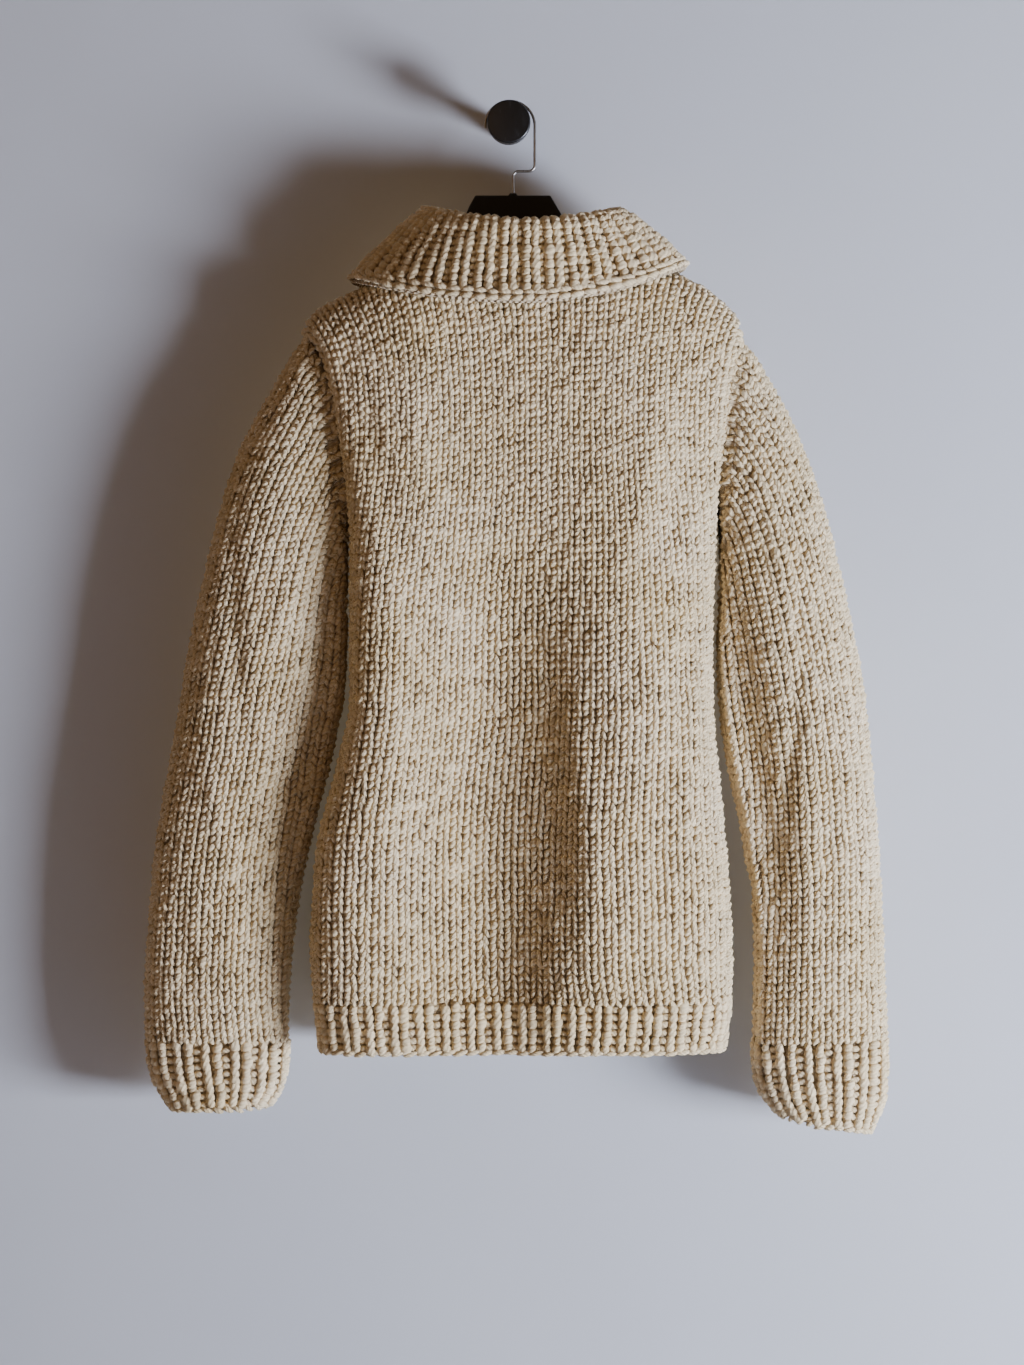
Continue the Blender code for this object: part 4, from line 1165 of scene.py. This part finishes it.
def moulded_plastic(colors):
    """Injection-moulded polypropylene: black, with a fine matt grain from the mould."""
    material, tree, shader = new_material("moulded polypropylene", {
        "Roughness": 0.5, "Specular IOR Level": 0.35})
    grain = noise(tree, object_place(tree), 0.0006, 2.0)
    color = blend_colors(tree, ramp_value(tree, grain, 0.35, 0.65), linear(colors.hanger),
                         linear("#1C1C1D"))
    connect(tree, shader, {"Base Color": color,
                           "Roughness": ramp_value(tree, grain, 0.3, 0.7, 0.42, 0.58),
                           "Normal": bump(tree, grain, 0.25, 0.0002)})
    return material


def drawn_steel(colors):
    """Drawn steel wire: satin, with faint lines along it from the die."""
    material, tree, shader = new_material("drawn steel wire", {"Roughness": 0.3, "Metallic": 1.0})
    long_grain = add_node(tree, "ShaderNodeMapping", {
        "Scale": (1 / 0.0004, 1 / 0.0004, 1 / 0.01), "Vector": object_place(tree)}).outputs[0]
    lines = noise(tree, long_grain, 1.0, 2.0)
    color = blend_colors(tree, ramp_value(tree, lines, 0.35, 0.65), linear(colors.steel),
                         linear("#B9B6B0"))
    connect(tree, shader, {"Base Color": color,
                           "Roughness": ramp_value(tree, lines, 0.3, 0.7, 0.24, 0.4)})
    return material


def turned_lacquer(colors):
    """A turned knob in black lacquer: semi-gloss, with rings of the lathe and fine scratches."""
    material, tree, shader = new_material("black lacquered turning", {
        "Roughness": 0.34, "Coat Weight": 0.25, "Coat Roughness": 0.2,
        "Specular IOR Level": 0.5})
    place = object_place(tree)
    rings = add_node(tree, "ShaderNodeTexWave", {
        "wave_type": "RINGS", "rings_direction": "Y", "Scale": 1 / 0.0022, "Distortion": 1.5,
        "Detail": 2.0, "Vector": place}).outputs["Fac"]
    stretch = add_node(tree, "ShaderNodeMapping", {
        "Rotation": (0.0, 0.7, 0.0), "Scale": (1 / 0.0012, 1.0, 1 / 0.012),
        "Vector": place}).outputs[0]
    scratches = noise(tree, stretch, 1.0, 3.0)
    color = blend_colors(tree, ramp_value(tree, scratches, 0.66, 0.74), linear(colors.peg),
                         linear("#3A3938"))
    connect(tree, shader, {"Base Color": color,
                           "Roughness": ramp_value(tree, scratches, 0.3, 0.75, 0.3, 0.5),
                           "Normal": bump(tree, rings, 0.12, 0.0002)})
    return material


def matt_paint(name, code, one_sided):
    """Matt wall paint: pale and even; a one-sided wall can be looked through from behind."""
    material, tree, shader = new_material(name, {"Roughness": 0.9, "Specular IOR Level": 0.15})
    roll = noise(tree, object_place(tree), 0.25, 2.0)
    base = linear(code)
    color = blend_colors(tree, ramp_value(tree, roll, 0.3, 0.7), [c * 0.97 for c in base], base)
    connect(tree, shader, {"Base Color": color})
    if one_sided:
        behind = add_node(tree, "ShaderNodeNewGeometry").outputs["Backfacing"]
        clear = add_node(tree, "ShaderNodeBsdfTransparent").outputs[0]
        both = add_node(tree, "ShaderNodeMixShader", {0: behind, 1: shader.outputs[0], 2: clear})
        tree.links.new(both.outputs[0], tree.nodes["Material Output"].inputs["Surface"])
    return material


def shared_material(name, maker, *values):
    """The material of that name, made when it is first asked for."""
    return bpy.data.materials.get(name) or maker(*values)


# Properties

class SweaterSizes(bpy.types.PropertyGroup):
    """Sizes that a knitter would change."""
    wale_width: bpy.props.FloatProperty(
        name="Stitch width", description="Width of one V stitch", default=0.0108,
        min=0.006, max=0.02, unit="LENGTH")
    row_height: bpy.props.FloatProperty(
        name="Row height", description="Height of one row of stitches", default=0.0067,
        min=0.004, max=0.014, unit="LENGTH")
    yarn_radius: bpy.props.FloatProperty(
        name="Yarn radius", description="Middle radius of the thick-and-thin yarn",
        default=0.00245, min=0.0012, max=0.005, unit="LENGTH")
    body_ribs: bpy.props.IntProperty(
        name="Hem ribs", description="Ribs across the back hem, and across the front one",
        default=20, min=8, max=40)
    cuff_ribs: bpy.props.IntProperty(
        name="Cuff ribs", description="Ribs round a cuff", default=12, min=6, max=24)
    collar_ribs: bpy.props.IntProperty(
        name="Collar ribs", description="Ribs round the collar", default=32, min=16, max=48)


class SweaterColors(bpy.types.PropertyGroup):
    """Colours as sRGB hex values."""
    wool: bpy.props.StringProperty(
        name="Wool", description="Yarn where the light falls on it", default="#F6E9CB")
    # Painted shade: yarn deep between the stitches and the knit's ground take colours darker than the
    # wool
    wool_painted_shade: bpy.props.StringProperty(
        name="Painted shade of the wool", description="Yarn deep between the stitches", default="#BBA586")
    wool_inside_shaded: bpy.props.StringProperty(
        name="Wool inside, in painted shade", description="The knit's inner side", default="#DCC9A6")
    hanger: bpy.props.StringProperty(
        name="Hanger", description="Moulded hanger", default="#0B0B0C")
    steel: bpy.props.StringProperty(
        name="Hook", description="Steel wire of the hook", default="#8A8782")
    peg: bpy.props.StringProperty(
        name="Peg", description="Lacquered wall peg", default="#0A0A0B")
    wall: bpy.props.StringProperty(
        name="Wall", description="Painted wall and floor", default="#C4C6CA")


def wool_materials(context):
    colors = context.scene.sweater_colors
    return (shared_material("handspun sheep's wool with painted hollow shade", handspun_wool, colors),
            shared_material("knitted wool ground in painted shade", knit_reverse, colors))


def hand_over(shell, node, stitches):
    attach(shell, BODY_NAME)
    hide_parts(node)
    for piece in stitches:
        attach(piece, BODY_NAME)


# Operators

class SWEATER_OT_panels(bpy.types.Operator):
    """Knit the back and the front"""
    bl_idname = "sweater.panels"
    bl_label = "Knit back and front"

    def execute(self, context):
        sizes = context.scene.sweater_sizes
        wool, ground = wool_materials(context)
        for number, face in enumerate(("back", "front")):
            rng = np.random.default_rng(SEED + number)
            chart = panel_chart(face)
            width = chart.across_ways()[:, -1].mean()
            wales = int(round(width / (sizes.wale_width * 1000)))
            stitches = knit_plain(face + "_stitches", chart, sizes, rng, wool, wales)
            shell = shell_object(face + "_cloth", chart, YARN_SINK, SHELL_WALL, *PANEL_GRID, wales,
                                 sizes.row_height * 1000, ground)
            hand_over(shell, face, stitches)
        return {"FINISHED"}


class SWEATER_OT_sleeves(bpy.types.Operator):
    """Knit the two sleeves"""
    bl_idname = "sweater.sleeves"
    bl_label = "Knit sleeves"

    def execute(self, context):
        sizes = context.scene.sweater_sizes
        wool, ground = wool_materials(context)
        for number, side in enumerate(("left", "right")):
            rng = np.random.default_rng(SEED + 10 + number)
            chart = sleeve_chart(side)
            width = chart.across_ways(square=True)[:, -1].max()
            wales = int(round(width / (sizes.wale_width * 1000)))
            stitches = knit_plain("sleeve_" + side + "_stitches", chart, sizes, rng, wool, wales)
            shell = shell_object("sleeve_" + side + "_cloth", chart, YARN_SINK, SHELL_WALL,
                                 *SLEEVE_GRID, wales, sizes.row_height * 1000, ground)
            hand_over(shell, "sleeve_" + side, stitches)
        return {"FINISHED"}


class SWEATER_OT_bands(bpy.types.Operator):
    """Knit the ribbed hem bands and cuffs"""
    bl_idname = "sweater.bands"
    bl_label = "Knit hems and cuffs"

    def execute(self, context):
        sizes = context.scene.sweater_sizes
        wool, ground = wool_materials(context)
        bands = [("hem_back", hem_chart("back"), sizes.body_ribs),
                 ("hem_front", hem_chart("front"), sizes.body_ribs),
                 ("cuff_left", cuff_chart("left"), sizes.cuff_ribs),
                 ("cuff_right", cuff_chart("right"), sizes.cuff_ribs)]
        for number, (node, chart, ribs) in enumerate(bands):
            rng = np.random.default_rng(SEED + 20 + number)
            yarn = knit_ribs(chart, sizes, rng, ribs, (BAND_EDGE_TRIM, 0.0))
            bind_edge(yarn, chart, sizes, rng, 2 * ribs, False, BAND_LOOP_WAY, EDGE_LOOP)
            stitches = [yarn.make(node + "_stitches", wool)]
            shell = shell_object(node + "_cloth", chart, RIB_SINK, SHELL_WALL, BAND_ROWS,
                                 COLUMNS_A_RIB * ribs, 2 * ribs, sizes.row_height * 1000, ground)
            hand_over(shell, node, stitches)
        return {"FINISHED"}


class SWEATER_OT_collar(bpy.types.Operator):
    """Knit the folded ribbed collar"""
    bl_idname = "sweater.collar"
    bl_label = "Knit collar"

    def execute(self, context):
        sizes = context.scene.sweater_sizes
        wool, ground = wool_materials(context)
        rng = np.random.default_rng(SEED + 30)
        chart = collar_chart()
        ribs = sizes.collar_ribs
        yarn = knit_ribs(chart, sizes, rng, ribs, (0.0, COLLAR_EDGE_TRIM))
        for way, tilt in COLLAR_GARTER_ROWS:
            bind_edge(yarn, chart, sizes, rng, 2 * ribs, True, way,
                      {**GARTER_LOOP, "tilt": tilt})
        stitches = [yarn.make("collar_stitches", wool)]
        shell = shell_object("collar_cloth", chart, RIB_SINK, SHELL_WALL, COLLAR_ROWS,
                             COLUMNS_A_RIB * ribs, 2 * ribs, sizes.row_height * 1000, ground)
        hand_over(shell, "collar", stitches)
        return {"FINISHED"}


def select_only(piece):
    bpy.ops.object.select_all(action="DESELECT")
    piece.select_set(True)
    bpy.context.view_layer.objects.active = piece


def arc(centre, radius, start, end, steps):
    return [(centre[0] + radius * cos(mix(start, end, i / steps)),
             centre[1] + radius * sin(mix(start, end, i / steps))) for i in range(steps + 1)]


class SWEATER_OT_hook(bpy.types.Operator):
    """Bend the steel hook and finish the hanger"""
    bl_idname = "sweater.hook"
    bl_label = "Make hook and hanger"

    def execute(self, context):
        colors = context.scene.sweater_colors
        shank_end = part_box("hanger_hook")[0].z / MM
        right_x = HOOK_CENTRE[0] + HOOK_RADIUS
        path = arc(HOOK_CENTRE, HOOK_RADIUS, pi * HOOK_START, 0.0, 40)
        path += arc((right_x - HOOK_BEND, HOOK_LEVEL_Z + HOOK_BEND), HOOK_BEND, 0.0, -pi / 2, 8)
        path += arc((HOOK_SHANK_X + HOOK_BEND, HOOK_LEVEL_Z - HOOK_BEND), HOOK_BEND, pi / 2, pi, 8)
        path.append((HOOK_SHANK_X, shank_end))
        wire = bpy.data.curves.new("hook_wire", "CURVE")
        wire.dimensions = "3D"
        wire.bevel_depth = WIRE_RADIUS * MM
        wire.bevel_resolution = 4
        wire.use_fill_caps = True
        line = wire.splines.new("POLY")
        line.points.add(len(path) - 1)
        for spot, (x, z) in zip(line.points, path):
            spot.co = (x * MM, HANG_Y * MM, z * MM, 1.0)
        hook = bpy.data.objects.new("hook_wire", wire)
        context.collection.objects.link(hook)
        select_only(hook)
        bpy.ops.object.convert(target="MESH")
        hook = context.view_layer.objects.active
        bpy.ops.object.shade_smooth_by_angle(angle=radians(50))
        hook.data.materials.clear()
        hook.data.materials.append(shared_material("drawn steel wire", drawn_steel, colors))
        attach(hook, BODY_NAME)
        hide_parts("hanger_hook")
        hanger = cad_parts["hanger"]
        hanger.material_slots[0].material = shared_material("moulded polypropylene",
                                                            moulded_plastic, colors)
        return {"FINISHED"}


class SWEATER_OT_peg(bpy.types.Operator):
    """Turn the round wall peg"""
    bl_idname = "sweater.peg"
    bl_label = "Turn peg"

    def execute(self, context):
        colors = context.scene.sweater_colors
        bpy.ops.object.select_all(action="DESELECT")
        head = (PEG_LENGTH - PEG_HEAD_START) * MM
        bpy.ops.mesh.primitive_cylinder_add(
            vertices=PEG_SIDES, radius=PEG_HEAD_RADIUS * MM, depth=head,
            location=(0, -(PEG_LENGTH + PEG_HEAD_START) / 2 * MM, 0), rotation=(pi / 2, 0, 0))
        peg = context.active_object
        peg.name = "peg"
        bpy.ops.object.transform_apply(location=True, rotation=True, scale=True)
        bpy.ops.object.mode_set(mode="EDIT")
        self.grow(peg, -PEG_HEAD_START, PEG_HEAD_RADIUS - PEG_SEAT_RADIUS,
                  PEG_HEAD_START - PEG_SEAT_START)
        self.grow(peg, -PEG_SEAT_START, PEG_SEAT_RADIUS - PEG_STEM_RADIUS, PEG_SEAT_START)
        self.bevel_rim(peg, -PEG_LENGTH, PEG_HEAD_RADIUS, PEG_FRONT_ROUNDING, 6)
        self.bevel_rim(peg, -PEG_HEAD_START, PEG_HEAD_RADIUS, PEG_BACK_ROUNDING, 3)
        bpy.ops.object.mode_set(mode="OBJECT")
        bpy.ops.object.shade_smooth_by_angle(angle=radians(35))
        peg.data.materials.append(shared_material("black lacquered turning", turned_lacquer,
                                                  colors))
        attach(peg, BODY_NAME)
        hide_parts("wall_peg")
        return {"FINISHED"}

    def pick(self, peg, kind, test):
        """Selects only the faces or edges whose points all pass the test."""
        bpy.ops.mesh.select_mode(type=kind)
        bpy.ops.mesh.select_all(action="DESELECT")
        bpy.ops.object.mode_set(mode="OBJECT")
        mesh = peg.data
        parts = mesh.polygons if kind == "FACE" else mesh.edges
        for part in parts:
            part.select = all(test(mesh.vertices[i].co) for i in part.vertices)
        bpy.ops.object.mode_set(mode="EDIT")

    def grow(self, peg, y, inset, length):
        """Insets the flat face at y and extrudes it towards the wall."""
        self.pick(peg, "FACE", lambda co: abs(co.y - y * MM) < 1e-5)
        bpy.ops.mesh.inset(thickness=inset * MM)
        bpy.ops.mesh.extrude_region_move(TRANSFORM_OT_translate={"value": (0, length * MM, 0)})

    def bevel_rim(self, peg, y, radius, width, segments):
        self.pick(peg, "EDGE", lambda co: abs(co.y - y * MM) < 1e-5
                  and abs(co.xz.length - radius * MM) < 1e-5)
        bpy.ops.mesh.bevel(offset=width * MM, segments=segments, affect="EDGES")


class SWEATER_OT_stage(bpy.types.Operator):
    """Set the wall, the floor, the lights and the camera"""
    bl_idname = "sweater.stage"
    bl_label = "Set stage"

    def execute(self, context):
        colors = context.scene.sweater_colors
        wall = self.backdrop("wall", WALL_PLACE, WALL_SIZE, (pi / 2, 0, 0),
                             matt_paint("matt wall paint", colors.wall, True))
        wall.visible_shadow = False
        self.backdrop("floor", FLOOR_PLACE, FLOOR_SIZE, (0, 0, 0),
                      matt_paint("matt floor paint", colors.wall, False))
        for light in LIGHTS:
            self.area_light(*light)
        world = bpy.data.worlds.new("soft room")
        world.use_nodes = True
        background = world.node_tree.nodes["Background"]
        background.inputs["Color"].default_value = (*linear(ROOM_COLOR), 1.0)
        background.inputs["Strength"].default_value = ROOM_STRENGTH
        context.scene.world = world
        eye = bpy.data.cameras.new("camera")
        eye.sensor_width = SENSOR_LONG_SIDE
        eye.lens = FOCAL_PIXELS / IMAGE_HEIGHT * SENSOR_LONG_SIDE
        eye.clip_start = 0.05
        eye.clip_end = 50.0
        camera = bpy.data.objects.new("camera", eye)
        camera.location = CAMERA_PLACE
        camera.rotation_euler = (pi / 2, 0.0, 0.0)
        context.collection.objects.link(camera)
        context.scene.camera = camera
        return {"FINISHED"}

    def backdrop(self, name, place, size, turn, material):
        bpy.ops.object.select_all(action="DESELECT")
        bpy.ops.mesh.primitive_plane_add(size=1.0, location=place, rotation=turn)
        sheet = bpy.context.active_object
        sheet.name = name
        sheet.scale = (size[0], size[1], 1.0)
        bpy.ops.object.transform_apply(location=True, rotation=True, scale=True)
        sheet.data.materials.append(material)
        return sheet

    def area_light(self, name, place, target, size, power, code):
        lamp = bpy.data.lights.new(name, "AREA")
        lamp.shape = "RECTANGLE"
        lamp.size = size[0]
        lamp.size_y = size[1]
        lamp.energy = power
        lamp.color = linear(code)
        light = bpy.data.objects.new(name, lamp)
        light.location = place
        aim = Vector(target) - Vector(place)
        light.rotation_euler = aim.to_track_quat("-Z", "Y").to_euler()
        light.visible_camera = False
        bpy.context.collection.objects.link(light)


class SWEATER_PT_tools(bpy.types.Panel):
    """Lists the sweater's operators, sizes and colours"""
    bl_label = "Hand-knit sweater"
    bl_idname = "SWEATER_PT_tools"
    bl_space_type = "VIEW_3D"
    bl_region_type = "UI"
    bl_category = "Sweater"

    def draw(self, context):
        layout = self.layout
        for group in (context.scene.sweater_sizes, context.scene.sweater_colors):
            column = layout.column(align=True)
            for name in group.__annotations__:
                column.prop(group, name)
        for operator in OPERATORS:
            layout.operator(operator.bl_idname)


OPERATORS = (SWEATER_OT_stage, SWEATER_OT_panels, SWEATER_OT_sleeves, SWEATER_OT_bands,
             SWEATER_OT_collar, SWEATER_OT_hook, SWEATER_OT_peg)
CLASSES = (SweaterSizes, SweaterColors, *OPERATORS, SWEATER_PT_tools)


def register():
    for kind in CLASSES:
        bpy.utils.register_class(kind)
    bpy.types.Scene.sweater_sizes = bpy.props.PointerProperty(type=SweaterSizes)
    bpy.types.Scene.sweater_colors = bpy.props.PointerProperty(type=SweaterColors)


def unregister():
    del bpy.types.Scene.sweater_colors
    del bpy.types.Scene.sweater_sizes
    for kind in reversed(CLASSES):
        bpy.utils.unregister_class(kind)


def main():
    register()
    bpy.ops.sweater.stage()
    bpy.ops.sweater.panels()
    bpy.ops.sweater.sleeves()
    bpy.ops.sweater.bands()
    bpy.ops.sweater.collar()
    bpy.ops.sweater.hook()
    bpy.ops.sweater.peg()


if __name__ == "__main__":
    main()
